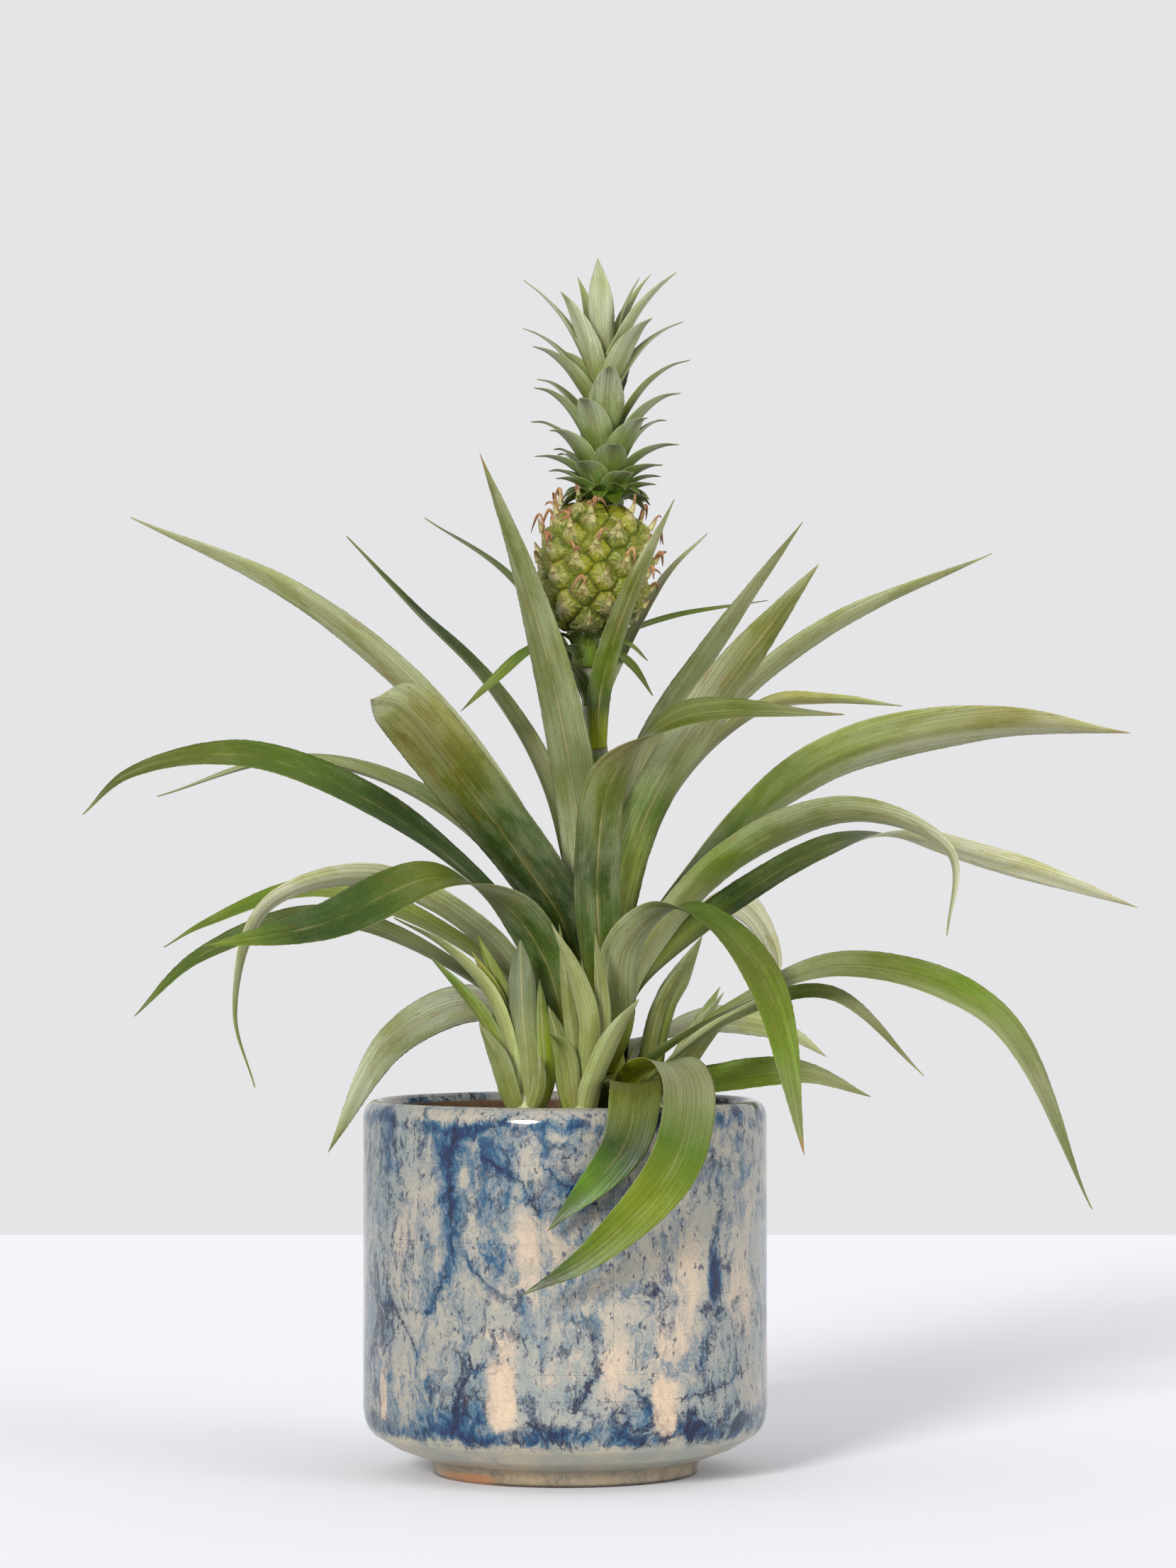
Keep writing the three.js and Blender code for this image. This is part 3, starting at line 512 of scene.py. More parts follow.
# %% Leaf marks
RIB_SPACING = 1.15
KEEL_SHIFT = 0.4    # the noise that bends the ribs moves the keel this far from the middle
LEAF_MARKS = {key: colour_of(code) for key, code in {
    "scurf": "b7bb94", "keel_painted_shade": "63622f", "keel_rubbed": "b3aa76", "fleck": "6e5b35", "dry": "8a7343",
    "margin": "b3b481",
}.items()}
OLIVE_WASH = (0.72, 0.74, 0.40, 1)
print("marks:", ", ".join(LEAF_MARKS))

# %% [markdown]
# ## Leaf finish
# The upper face is green and a little glossy. The lower face is grey-green with pale scales, olive blotches
# and a brownish keel that is darkened with painted shade. An image would show this at one size only. Noise
# that is stretched along the flat leaf gives lines, scales and blotches at any size.


# %% Leaf finish
def leaf_finish(name, tint, lines, scurf, blotch, margin, keel, rust, rough):
    """lines to rust say how strong each mark is, and rough is the roughness."""
    r = Recipe(name)
    flat = r.attribute("flat", "Vector")
    edge = r.attribute("edge")
    broad = r.noise(r.stretch(flat, (1.15, 0.010, 1)), detail=2)
    cloud = r.noise(r.stretch(flat, (0.12, 0.045, 1)), detail=3, roughness=0.6)
    dust = r.noise(r.stretch(flat, (1.5, 0.7, 1)), detail=4, roughness=0.7)
    fleck = r.noise(r.stretch(flat, (1.3, 0.16, 3)), detail=2)
    burn = r.noise(r.stretch(flat, (0.30, 0.05, 1)), detail=3, roughness=0.65)
    wander = r.add(r.part_of(flat, 0), r.times(broad, 0.8))
    ribs = r.math("SINE", r.times(wander, 2 * math.pi / RIB_SPACING))
    from_keel = r.distance(wander, KEEL_SHIFT)

    # pale scales in clouds, near the margin and as dust, and olive stretches between them
    scales = r.add(r.step(cloud, 0.46, 0.66, 0.0, scurf), r.step(edge, 0.3, 0.9, 0.0, margin),
                   r.step(dust, 0.55, 0.72, 0.0, 0.4 * scurf + 0.05))
    colour = r.mix(scales, r.attribute(tint, "Color"), LEAF_MARKS["scurf"])
    colour = r.mix(r.step(cloud, 0.53, 0.36, 0.0, blotch), colour, OLIVE_WASH, blend="MULTIPLY")
    # lines along the blade
    shade = r.add(r.step(broad, 0.32, 0.68, 1 - lines, 1 + lines), r.times(ribs, 0.6 * lines),
                  r.step(dust, 0.3, 0.7, -0.07, 0.07))
    colour = r.brightness(colour, shade)
    # painted shade along the keel, in a brownish colour, and the keel rubbed pale here and there
    colour = r.mix(r.step(from_keel, 2.4, 0.4, 0, 0.6 * keel), colour, LEAF_MARKS["keel_painted_shade"])
    rubbed = r.times(r.step(from_keel, 0.55, 0.2, 0, keel), r.step(cloud, 0.36, 0.60))
    colour = r.mix(rubbed, colour, LEAF_MARKS["keel_rubbed"])
    # flecks, dry stretches and the pale margin
    colour = r.mix(r.step(fleck, 0.68, 0.74, 0, 0.55), colour, LEAF_MARKS["fleck"])
    colour = r.mix(r.step(burn, 0.60, 0.72, 0, rust), colour, LEAF_MARKS["dry"])
    colour = r.mix(r.step(edge, 0.955, 1.0, 0, 0.45), colour, LEAF_MARKS["margin"])
    bump = r.bump(r.add(r.times(ribs, 0.15), r.times(broad, 3)), 0.5, 0.12)
    return r.finish(Base_Color=colour, Roughness=r.step(dust, 0.3, 0.7, rough - 0.07, rough + 0.09),
                    Normal=bump, Specular_IOR_Level=0.25)


print("millimetres from one rib to the next:", RIB_SPACING)

# %% [markdown]
# ## Three leaf materials
# The upper face, the lower face and the young shoots differ only in how strong each mark is, so one
# function makes all three.

# %% Leaf materials
leaf_upper = leaf_finish("leaf_upper_face", "upper_tint", lines=0.13, scurf=0.07, blotch=0.40, margin=0.00,
                         keel=0.22, rust=0.20, rough=0.40)
leaf_under = leaf_finish("leaf_lower_face", "under_tint", lines=0.14, scurf=0.17, blotch=0.70, margin=0.10,
                         keel=0.42, rust=0.50, rough=0.50)
shoot_face = leaf_finish("shoot_leaf_face", "under_tint", lines=0.14, scurf=0.15, blotch=0.55, margin=0.16,
                         keel=0.40, rust=0.20, rough=0.50)
print("leaf finishes:", leaf_upper.name, leaf_under.name, shoot_face.name)

# %% [markdown]
# ## Stem
# The thick stump and the slim stalk are one tube whose middle line and radius change with height. The
# leaves need to know its radius where they clasp it, so its stations come first and the tube later.

# %% Stem stations
SOIL_LEVEL = 131.5
STEM_AXIS_X = 11
STALK_RADIUS = 3.8
STALK_TOP_RADIUS = 2.9
STEM_STATIONS = [  # x, z, radius
    (STEM_AXIS_X, SOIL_LEVEL - 9, 14),
    (STEM_AXIS_X, SOIL_LEVEL + 0.5, 14),
    (STEM_AXIS_X, 148, 12),
    (STEM_AXIS_X, 165, 9.5),
    (STEM_AXIS_X, 182, 7.2),
    (STEM_AXIS_X + 0.3, 196, 4.6),
    (STEM_AXIS_X + 0.8, 212, STALK_RADIUS),
    (STEM_AXIS_X + 1.2, 240, STALK_RADIUS),
    (STEM_AXIS_X + 1, 262, STALK_RADIUS),
    (STEM_AXIS_X + 0.4, 267, STALK_RADIUS + 0.7),
    (STEM_AXIS_X - 0.2, 280, STALK_RADIUS),
    (STEM_AXIS_X - 3.6, 297, STALK_TOP_RADIUS),
    (STEM_AXIS_X - 4.4, 311.2, STALK_TOP_RADIUS),
]
stem_x, stem_z, stem_radius = np.array(STEM_STATIONS).T


def stem_at(z):
    return np.interp(z, stem_z, stem_x), np.interp(z, stem_z, stem_radius)


print("stem from", stem_z[0], "to", stem_z[-1], "mm, its radius at the soil:", stem_at(SOIL_LEVEL)[1])

# %% [markdown]
# ## Large leaves
# No two of the leaves are alike, so a rule can't place them. Each has a row instead, read off the
# photograph: foot is where it leaves the stem, as bearing in degrees and height, and spine the points that
# it passes after that. roll says how far it turns about its own length, and gutter the half angle of its
# hollow, both from foot to tip. From the share taper_from on it narrows. upper and under are the tints of
# its two faces, and pale_side the side of the keel that is paler.

# %% Measures that all leaves share
BLADE_THICKNESS = 0.95
SEAT_GAP = 0.3      # what separates a piece from the one it rests on
CLASP_ROOM = 0.3    # and a leaf's foot stands off the stem by this much more
LEAVES = {}
print("a leaf stands", round(SEAT_GAP + CLASP_ROOM, 1), "mm off the stem")

# %% [markdown]
# ## Leaves that stand up on the left
# The order of the leaves matters, because a leaf's number seeds its ripple and its teeth. The first four
# rise steeply from the upper stem and lean to the left. Some turn on the way and show their lower face.

# %% Standing leaves on the left
LEAVES.update({
    "left_high": dict(
        foot=(135, 176), width=14, roll=[0, 60, 74, 70, 60], gutter=[30, 30, 25, 20], taper_from=0.5,
        spine=[(0, 11, 208), (-20, 22, 245), (-54, 40, 288), (-104, 58, 329), (-169, 70, 360)],
        upper="lime green green green olive",
        under="lime moss pale pale pale silver silver olive"),
    "front_left_up": dict(
        foot=(-128, 169), width=25, roll=[0, 25, 45, 50, 50], gutter=[30, 25, 18, 18], taper_from=0.6,
        spine=[(1, -12, 200), (-13, -20, 223), (-36, -40, 254), (-56, -67, 279), (-67, -122, 282)],
        upper="lime deep deep deep moss",
        under="citron forest forest deep hazel khaki cream bone tan"),
    "back_left_slim": dict(
        foot=(118, 182), width=12, gutter=[30, 55, 60, 50],
        spine=[(4, 10, 215), (-8, 22, 258), (-30, 40, 294), (-58, 60, 323), (-86, 88, 354)],
        upper="lime grass mealy dusky bottle green moss",
        under="lime green green olive moss"),
    "front_tall": dict(
        foot=(-106, 178), width=18, roll=[0, 5, 15, 20], gutter=[30, 30, 30, 30], taper_from=0.38,
        spine=[(8, -10, 204), (4, -16, 248), (-4, -25, 291), (-16, -34, 334), (-31, -42, 375)],
        under="sage silver silver grey grey grey grey mealy rust"),
})
print("leaves so far:", len(LEAVES))

# %% [markdown]
# ## Leaves that stand up on the right
# Five more rise on the right. The one in front bends over near its end. They could mirror the left ones,
# but a plant isn't symmetric.

# %% Standing leaves on the right
LEAVES.update({
    "right_up_back": dict(
        foot=(40, 180), width=13, roll=[0, 12, 22, 30], gutter=[30, 30, 30], taper_from=0.5,
        spine=[(18, 7, 212), (31, 19, 267), (59, 34, 312), (91, 52, 357)],
        upper="lime moss pale mealy grey mealy mealy olive",
        under="moss moss grey grey olive"),
    "right_up_front": dict(
        foot=(-52, 172), width=19, roll=[0, -6, -26, -45, -50], gutter=[30, 25, 25, 30], taper_from=0.6,
        spine=[(18, -12, 195), (28, -16, 239), (54, -24, 284), (81, -30, 320), (93, -34, 335)],
        under="lime fern fern green silver mealy hazel pale tan"),
    "right_long_back": dict(
        foot=(18, 170), width=12, roll=[0, -20, -55, -60, -50], gutter=[30, 30, 25, 20], taper_from=0.5,
        spine=[(22, 2, 195), (35, 7, 240), (56, 14, 278), (98, 31, 314), (164, 56, 345)],
        under="moss pale pale pale pale silver pale tan"),
    "right_mid_back": dict(
        foot=(50, 164), width=11, roll=[0, -12, -50, -50, -40], gutter=[30, 30, 30], taper_from=0.55,
        spine=[(20, 12, 196), (44, 32, 256), (77, 53, 286), (102, 66, 289), (131, 78, 287)],
        under="moss grey pale pale olive straw cream tan"),
    "front_centre": dict(
        foot=(-86, 164), width=18, roll=[0, 0, 0, 15, 60, 45, 40], gutter=[30, 35, 35, 30], taper_from=0.5,
        spine=[(13, -19, 188), (12, -27, 225), (18, -34, 258), (43, -48, 278), (101, -60, 279)],
        upper="lime green green forest moss moss mealy brown",
        under="citron green forest moss tan grey grey brown"),
})
print("leaves so far:", len(LEAVES))

# %% [markdown]
# ## Wide arches on the right
# The widest leaf of the plant arches here, and one half of it is paler. The others leave the stem lower
# down and bend over sooner under their own weight.

# %% Wide arches on the right
LEAVES.update({
    "right_big": dict(
        foot=(4, 160), width=26, roll=[0, -12, -42, -42, -35], gutter=[30, 30, 20, 20], taper_from=0.6,
        pale_side=1,
        spine=[(24, 0, 184), (54, 3, 226), (99, 5, 263), (159, 1, 277), (210, -6, 274)],
        upper="lime deep green green olive",
        under="lime moss forest grass fern sage khaki bone rust"),
    "right_mid_front": dict(
        foot=(-40, 156), width=16, roll=[0, -20, -42, -45, -45], gutter=[30, 30, 30, 40], taper_from=0.5,
        spine=[(26, -12, 184), (61, -26, 227), (105, -42, 244), (139, -50, 229), (138, -53, 199)],
        under="lime cream pale grass grey pale frost frost olive"),
    "right_low_back": dict(
        foot=(14, 153), width=14, roll=[0, 25, 40, 30, -30, -45, -45], gutter=[30, 30, 20, 20],
        taper_from=0.7,
        spine=[(25, 4, 176), (67, 17, 214), (116, 28, 236), (164, 32, 226), (217, 34, 209)],
        upper="green fern forest dusky dusky dusky grey frost",
        under="green grey silver frost bone bone bone olive"),
    "back_right_drop": dict(
        foot=(46, 147), width=13, roll=[0, -10, -50, -75, -70], gutter=[30, 20, 20], taper_from=0.55,
        spine=[(24, 13, 178), (51, 44, 206), (68, 59, 210), (81, 71, 190), (79, 75, 168)],
        upper="lime green grey silver bone bone bone",
        under="grey silver bone bone bone bone"),
})
print("leaves so far:", len(LEAVES))

# %% [markdown]
# ## Low leaves on the right
# The low leaves are the oldest. One folds over before the lip of the pot, and two trail far down. Where a
# leaf turns over, its roll changes within a few centimetres.

# %% Low leaves on the right
LEAVES.update({
    "front_fold": dict(
        foot=(-72, 148), width=17, roll=[0, 0, 0, 0, 15, 20, 25], gutter=[30, 40, 30, 20, 30],
        taper_from=0.55,
        spine=[(20, -24, 163), (22, -31, 194), (38, -44, 209), (55, -58, 203), (72, -72, 181),
               (85, -86, 122)],
        upper="lime lime green green moss grass grey rust",
        under="citron grey silver deep green green bright rust"),
    "right_trailing": dict(
        foot=(-48, 141), width=15, roll=[0, 20, 40, 40, 20, 10], gutter=[30, 30, 25, 25], taper_from=0.6,
        pale_side=-0.2,
        spine=[(28, -22, 150), (60, -36, 172), (102, -53, 188), (153, -67, 171), (188, -75, 102)],
        upper="lime bright silver moss grass mealy green olive",
        under="bright grey pale pale grey pale"),
    "right_trailing_short": dict(
        foot=(-26, 137), width=7, roll=[0, 45, 60, 50, 45], taper_from=0.5,
        spine=[(33, -12, 147), (63, -21, 170), (97, -32, 178), (131, -40, 148)],
        upper="bright silver cream grass mealy mealy tan",
        under="bright grey pale pale tan"),
    "back_right_low": dict(
        foot=(38, 139), width=12, roll=[0, -50, -70, -70], gutter=[30, 25, 20], taper_from=0.5,
        spine=[(29, 13, 155), (54, 37, 166), (87, 62, 160), (101, 71, 151)],
        upper="green silver bone bone cream",
        under="grey silver frost cream cream tan"),
    "right_low": dict(
        foot=(27, 133.5), width=14, roll=[0, 45, 60, 55], taper_from=0.45,
        spine=[(32, 11, 139), (56, 17, 144), (88, 19, 147), (115, 20, 138)],
        upper="bright green grass grass pale pale plum",
        under="green grey grey olive"),
})
print("leaves so far:", len(LEAVES))

# %% [markdown]
# ## Leaves over the front of the pot
# Two wide green leaves come forward and hang down. They rise a little first, to clear the lip.

# %% Leaves over the front
LEAVES.update({
    "front_drape_left": dict(
        foot=(-80, 133), width=19, gutter=[30, 20, 20], taper_from=0.5,
        spine=[(21, -34, 141), (25, -55, 146), (25, -75, 141), (21, -83, 125), (-6, -84, 95)],
        upper="bright green green olive moss forest vivid forest vivid",
        under="bright grey grey grey"),
    "front_drape_right": dict(
        foot=(-58, 137), width=20, gutter=[30, 20, 25], taper_from=0.5,
        spine=[(27, -31, 149), (39, -55, 153), (44, -77, 142), (38, -89, 118), (10, -94, 88),
               (-15, -92, 73)],
        upper="bright moss silver mealy green spring meadow bottle meadow",
        under="citron citron grey grey"),
})
print("leaves so far:", len(LEAVES))

# %% [markdown]
# ## Arches on the left
# Four leaves arch to the left. The last of them weeps: its end hangs straight down and bends back inwards.

# %% Arches on the left
LEAVES.update({
    "left_arch_front": dict(
        foot=(-143, 163), width=16, roll=[0, -30, -52, -50, -40], gutter=[30, 30, 25, 20], taper_from=0.55,
        spine=[(0, -9, 182), (-28, -16, 214), (-70, -24, 247), (-118, -31, 265), (-159, -35, 258),
               (-176, -36, 243)],
        upper="green deep forest forest green moss dusky moss",
        under="green grey grey grey grey"),
    "left_arch_back": dict(
        foot=(165, 161), width=15, roll=[0, -15, -20, -20], gutter=[30, 60, 60, 40], taper_from=0.4,
        spine=[(-2, 4, 184), (-27, 10, 228), (-64, 19, 255), (-106, 26, 264), (-155, 31, 251)],
        upper="green deep deep grey pale silver silver",
        under="moss grey olive pale silver"),
    "front_left_fold": dict(
        foot=(-115, 150), width=18, roll=[0, 20, 20, -25, -50, -50, -45], gutter=[30, 30, 20, 20],
        taper_from=0.65,
        spine=[(1, -22, 162), (-7, -30, 190), (-22, -41, 211), (-46, -60, 220), (-88, -79, 203),
               (-128, -88, 196)],
        upper="lime green deep deep moss deep forest grass moss",
        under="citron green deep silver pale grey grey moss"),
    "left_weeping": dict(
        foot=(-150, 147), width=14, roll=[0, 25, 40, 40, 25], taper_from=0.45,
        spine=[(-7, -11, 167), (-33, -22, 201), (-72, -35, 220), (-108, -43, 209), (-119, -46, 172),
               (-112, -46, 144)],
        under="lime deep cream silver bone silver grass moss"),
})
print("leaves so far:", len(LEAVES))

# %% [markdown]
# ## Low leaves on the left
# Three low leaves reach far out, one under the other. The hindmost shows its pale lower face.

# %% Low leaves on the left
LEAVES.update({
    "left_low_upper": dict(
        foot=(168, 152), width=13, roll=[0, -20, -45, -45], taper_from=0.5,
        spine=[(-6, 4, 166), (-42, 9, 197), (-92, 13, 216), (-135, 15, 203), (-151, 15, 194)],
        upper="lime lime fern fern grass grass green",
        under="lime grey grey grey"),
    "left_low": dict(
        foot=(186, 143), width=14, roll=[0, -20, -45, -50], taper_from=0.5,
        spine=[(-8, -2, 157), (-39, -6, 185), (-88, -10, 205), (-135, -13, 191), (-159, -15, 169)],
        upper="lime grey dusky green deep",
        under="lime grey grey grey"),
    "back_left_low": dict(
        foot=(128, 141), width=16, roll=[0, 60, 72, 70, 60], gutter=[30, 25, 20], taper_from=0.45,
        spine=[(-4, 16, 153), (-34, 38, 172), (-66, 56, 158), (-92, 68, 114)],
        upper="green silver frost frost silver",
        under="grey silver chalk mist silver mist silver plum"),
})
print("leaves so far:", len(LEAVES))

# %% [markdown]
# ## Leaves behind
# The photograph doesn't show the back. Bare, it would look wrong from behind, so four plain leaves fill the
# bearings that are still free.

# %% Leaves behind
LEAVES.update({
    "back_low_right": dict(
        foot=(78, 134), width=15, gutter=[30, 25, 20],
        spine=[(17, 30, 148), (24, 62, 158), (28, 92, 140), (29, 106, 102)],
        upper="lime green deep green",
        under="lime grey pale grey"),
    "back_low_left": dict(
        foot=(106, 138), width=16, gutter=[30, 25, 20],
        spine=[(4, 26, 154), (-4, 58, 172), (-10, 92, 158), (-12, 112, 118)],
        upper="lime green green bright",
        under="lime grey pale grey"),
    "back_middle": dict(
        foot=(92, 147), width=17, gutter=[30, 25, 20],
        spine=[(10, 22, 172), (8, 52, 202), (6, 90, 198), (4, 120, 160)],
        upper="lime deep green green olive",
        under="lime olive grey pale"),
    "back_upper": dict(
        foot=(72, 157), width=16, gutter=[30, 25, 20],
        spine=[(16, 18, 185), (16, 46, 212), (15, 84, 212), (14, 118, 182)],
        upper="lime green deep green",
        under="lime grey olive pale"),
})
print("leaves so far:", len(LEAVES))

# %% [markdown]
# ## Small leaves on the stalk
# Three small leaves leave the slim stalk under the fruit, made like the large ones.

# %% Leaves on the stalk
LEAVES.update({
    "stalk_left": dict(
        foot=(105, 284), width=6, gutter=[30, 40, 30],
        spine=[(1, 11, 303), (-22, 36, 335), (-55, 74, 360)],
        upper="green green dusky dusky",
        under="green grey grey olive"),
    "stalk_right": dict(
        foot=(-80, 268), width=9.5, gutter=[30, 30, 30], taper_from=0.4,
        spine=[(13, -11, 289), (22, -26, 319), (40, -46, 358)],
        under="citron deep grass moss hazel silver pale plum"),
    "stalk_back": dict(
        foot=(58, 283), width=5, roll=[0, 20, 30], gutter=[30, 30, 30], taper_from=0.4,
        spine=[(21, 12, 303), (38, 20, 334), (54, 30, 351)],
        upper="grey silver frost silver plum",
        under="grey silver frost silver plum"),
})
print("leaves so far:", len(LEAVES))

# %% [markdown]
# ## Building the large leaves
# Each row becomes one closed blade that stands against the stem. On two leaves one side of the keel is
# paler: partly its paler colour and partly painted light for the half of the fold that faces the light. A
# second material would give that half a hard line, so its paler tint is blended into the tints that the
# points carry.

# %% Build the large leaves
PALE_COVER = 0.8         # how far the pale tint covers the others at most
PALE_FROM = 0.35         # the share of the length where the paler half begins
PALE_RAMP = 0.3
KEEL_SOFTNESS = 1.6      # millimetres
LARGE_FOOT_WIDTH = 9     # a wide leaf is at most this wide where it clasps the stem


def with_pale_side(tint, numbers, side, pale):
    """side is 1 or -1, or nearer 0 for a paler half that begins more softly. At 0 the tint stays."""
    beside_keel = np.clip(numbers["flat"][:, 0] * side / KEEL_SOFTNESS, 0, 1)
    along = np.clip((numbers["place"] - PALE_FROM) / PALE_RAMP, 0, 1)
    share = PALE_COVER * (beside_keel * along)[:, None]
    return tint * (1 - share) + TINT[pale] * share


def add_leaf(number, name, foot, spine, width, under, upper="lime green green green", roll=(0, 0, 0),
             gutter=(30, 30, 25), taper_from=0.35, pale_side=0):
    bearing, height = foot
    x, radius = stem_at(height)
    reach = radius + SEAT_GAP + BLADE_THICKNESS / 2 + CLASP_ROOM
    start = (x + reach * math.cos(math.radians(bearing)), reach * math.sin(math.radians(bearing)), height)
    points, faces, face_material, numbers = blade(
        [start, *spine], (x, 0), width, roll, gutter, min(0.75, LARGE_FOOT_WIDTH / width), taper_from,
        BLADE_THICKNESS, row_length=1.1, lanes=10, ripple=0.10, seed=number + 1)
    for key, names, pale in (("upper_tint", upper, "silver"), ("under_tint", under, "frost")):
        numbers[key] = with_pale_side(tints_along(names, numbers["place"]), numbers, pale_side, pale)
    return add_piece(f"fine_leaf_{name}", points, faces, [leaf_upper, leaf_under], f"leaf_{name}",
                     numbers, face_material)


leaves = [add_leaf(number, name, **row) for number, (name, row) in enumerate(LEAVES.items())]
print("large leaves:", len(leaves), "faces:", sum(len(leaf.data.polygons) for leaf in leaves))

# %% [markdown]
# ## Pot
# The pot was turned on a wheel: a flat underside, a foot ring, a bevel, a straight wall and a rounded lip.
# A lathe of its outline is the natural way to make it. Extra points are put on the outline, so that the
# wall can be coloured finely.

# %% Pot outline
POT_RADIUS = 75
POT_HEIGHT = 138.3
POT_INNER_RADIUS = 65.5
POT_PROFILE = [  # radius, height
    (0, 0), (47.6, 0), (49, 0.5), (49.5, 4), (50.6, 5.6), (POT_RADIUS - 12, 10.2), (POT_RADIUS - 4, 15),
    (POT_RADIUS - 1.8, 17.4), (POT_RADIUS - 0.7, 20.2), (POT_RADIUS, 25), (POT_RADIUS, 60),
    (POT_RADIUS, 100), (POT_RADIUS, POT_HEIGHT - 9), (POT_RADIUS - 0.1, POT_HEIGHT - 6.2),
    (POT_RADIUS - 0.4, POT_HEIGHT - 4.4), (POT_RADIUS - 1, POT_HEIGHT - 2.9),
    (POT_RADIUS - 2, POT_HEIGHT - 1.6), (POT_RADIUS - 3.3, POT_HEIGHT - 0.7),
    (POT_RADIUS - 4.8, POT_HEIGHT - 0.25), (POT_RADIUS - 6.2, POT_HEIGHT - 0.4),
    (POT_INNER_RADIUS + 0.7, POT_HEIGHT - 3.8), (POT_INNER_RADIUS, POT_HEIGHT - 10),
    (POT_INNER_RADIUS - 0.5, 20), (POT_INNER_RADIUS - 5.5, 12), (POT_INNER_RADIUS - 15.5, 9), (0, 8),
]
POT_SIDES = 200


def dense_profile(profile, longest):
    """The profile with extra points, so that no step is longer than the given length."""
    dense = [profile[0]]
    for a, b in zip(profile, profile[1:]):
        steps = max(1, math.ceil(math.dist(a, b) / longest))
        dense += [tuple(a[k] + (b[k] - a[k]) * s / steps for k in (0, 1)) for s in range(1, steps + 1)]
    return dense


pot_outline = dense_profile(POT_PROFILE, 1.6)
print("points on the pot's outline:", len(pot_outline))

# %% [markdown]
# ## Lathe
# Blender's screw modifier would spin an outline too. Done with numbers, each point's bearing and height are
# at hand, which the glaze needs, and the shape closes where the outline meets the axis.


# %% Lathe helper
def spin(profile, sides):
    """A profile spun about Z, with one point at each end that lies on the axis."""
    turns = np.arange(sides) / sides * 2 * np.pi
    points, rings = [], []
    for radius, height in profile:
        if radius == 0:
            rings.append([len(points)] * sides)
            points.append((0, 0, height))
        else:
            rings.append(list(range(len(points), len(points) + sides)))
            points += [(radius * math.sin(a), -radius * math.cos(a), height) for a in turns]
    faces = []
    for low, high in zip(rings, rings[1:]):
        for k in range(sides):
            corner = (low[k], low[(k + 1) % sides], high[(k + 1) % sides], high[k])
            faces.append(tuple(dict.fromkeys(corner)))
    return np.array(points, float), faces


pot_points, pot_faces = spin(pot_outline, POT_SIDES)
pot_bearing = np.degrees(np.arctan2(pot_points[:, 0], -pot_points[:, 1]))
pot_height = pot_points[:, 2].copy()
print("pot faces:", len(pot_faces))

# %% [markdown]
# ## Where the glaze ran
# Cobalt ran down the wall in large patches, and the glaze is thin and peach-coloured in others. Noise alone
# would put them anywhere. Soft ovals say where the large patches lie, and noise frays them.

# %% Glaze runs
# Each oval: bearing from the front in degrees, height, half width in degrees, half height, strength
# The runs on the front right, at bearings 38 to 60, are partly weakened as painted light, to make that side
# lighter.
COBALT_RUNS = [
    (-32, 124, 11, 12, 1.1), (-22, 118, 8, 14, 0.8), (-33, 98, 5, 34, 0.9), (-41, 76, 5, 22, 0.5),
    (-20, 84, 7, 8, 0.5), (-60, 124, 7, 12, 0.4), (-38, 40, 15, 18, 0.5), (-33, 25, 11, 8, 1.1),
    (-56, 70, 12, 34, 0.2), (9, 68, 10, 14, 0.45), (-12, 60, 5, 10, 0.2), (17, 27, 8, 7, 0.6),
    (-4, 22, 10, 3, 0.5), (46, 76, 2.2, 10, 1.3), (42, 118, 8, 14, 0.5), (-4, 126, 12, 8, 0.4),
    (40, 42, 6, 16, 0.35), (38, 25, 9, 6, 0.75), (60, 100, 6, 28, 0.05), (66, 50, 8, 26, 0.1),
    (58, 26, 10, 5, 0.5), (-74, 60, 9, 50, 0.3), (20, 106, 14, 18, 0.3), (2, 108, 10, 10, 0.4),
    (95, 80, 10, 50, 0.5), (118, 50, 12, 36, 0.5), (140, 100, 12, 30, 0.7), (165, 60, 7, 40, 0.8),
    (-170, 110, 14, 22, 0.8), (-150, 40, 12, 30, 0.6), (-128, 90, 8, 40, 0.7), (-100, 60, 12, 40, 0.4),
    (150, 26, 22, 8, 1.0), (-120, 26, 22, 8, 1.0), (100, 25, 16, 7, 0.8), (-165, 24, 18, 7, 0.9),
]
THIN_PATCHES = [
    (-18, 36, 5.6, 16, 1.1), (-17, 50, 6, 12, 0.7), (28.5, 31, 4.6, 13, 1.1), (32, 66, 9, 22, 0.75),
    (-10, 92, 11, 13, 0.6), (-61.5, 32, 2.8, 11, 1.1), (58, 68, 7, 16, 0.6), (-13, 72, 9, 9, 0.5),
    (0, 46, 12, 8, 0.5), (-50, 92, 6, 16, 0.5), (12, 44, 6, 12, 0.5), (84, 44, 4, 28, 0.9),
    (108, 84, 5, 26, 0.7), (132, 40, 4, 24, 1.0), (178, 44, 5, 30, 1.0), (-142, 82, 5, 26, 0.8),
    (-112, 34, 4, 20, 1.0), (-84, 60, 5, 30, 0.8),
]


def soft_ovals(ovals, power):
    """1 in the middle of an oval and 0 outside. A high power makes its sides steep."""
    total = np.zeros(len(pot_bearing))
    for bearing, height, half_width, half_height, strength in ovals:
        turn = np.abs((pot_bearing - bearing + 180) % 360 - 180)
        total = np.maximum(total, strength * np.exp(-(turn / half_width) ** power
                                                    - (np.abs(pot_height - height) / half_height) ** power))
    return total


cobalt, thin_glaze = soft_ovals(COBALT_RUNS, 2), soft_ovals(THIN_PATCHES, 4)
print("share of the pot under cobalt:", round(float((cobalt > 0.4).mean()), 2))

# %% [markdown]
# ## Crackle veins
# Dark veins follow the larger cracks of the glaze. Cracks made by noise are spread evenly, but a few long
# ones catch the eye. Each is a row of places, and the points carry how far they lie to one side of it.
# Three veins share one vector.

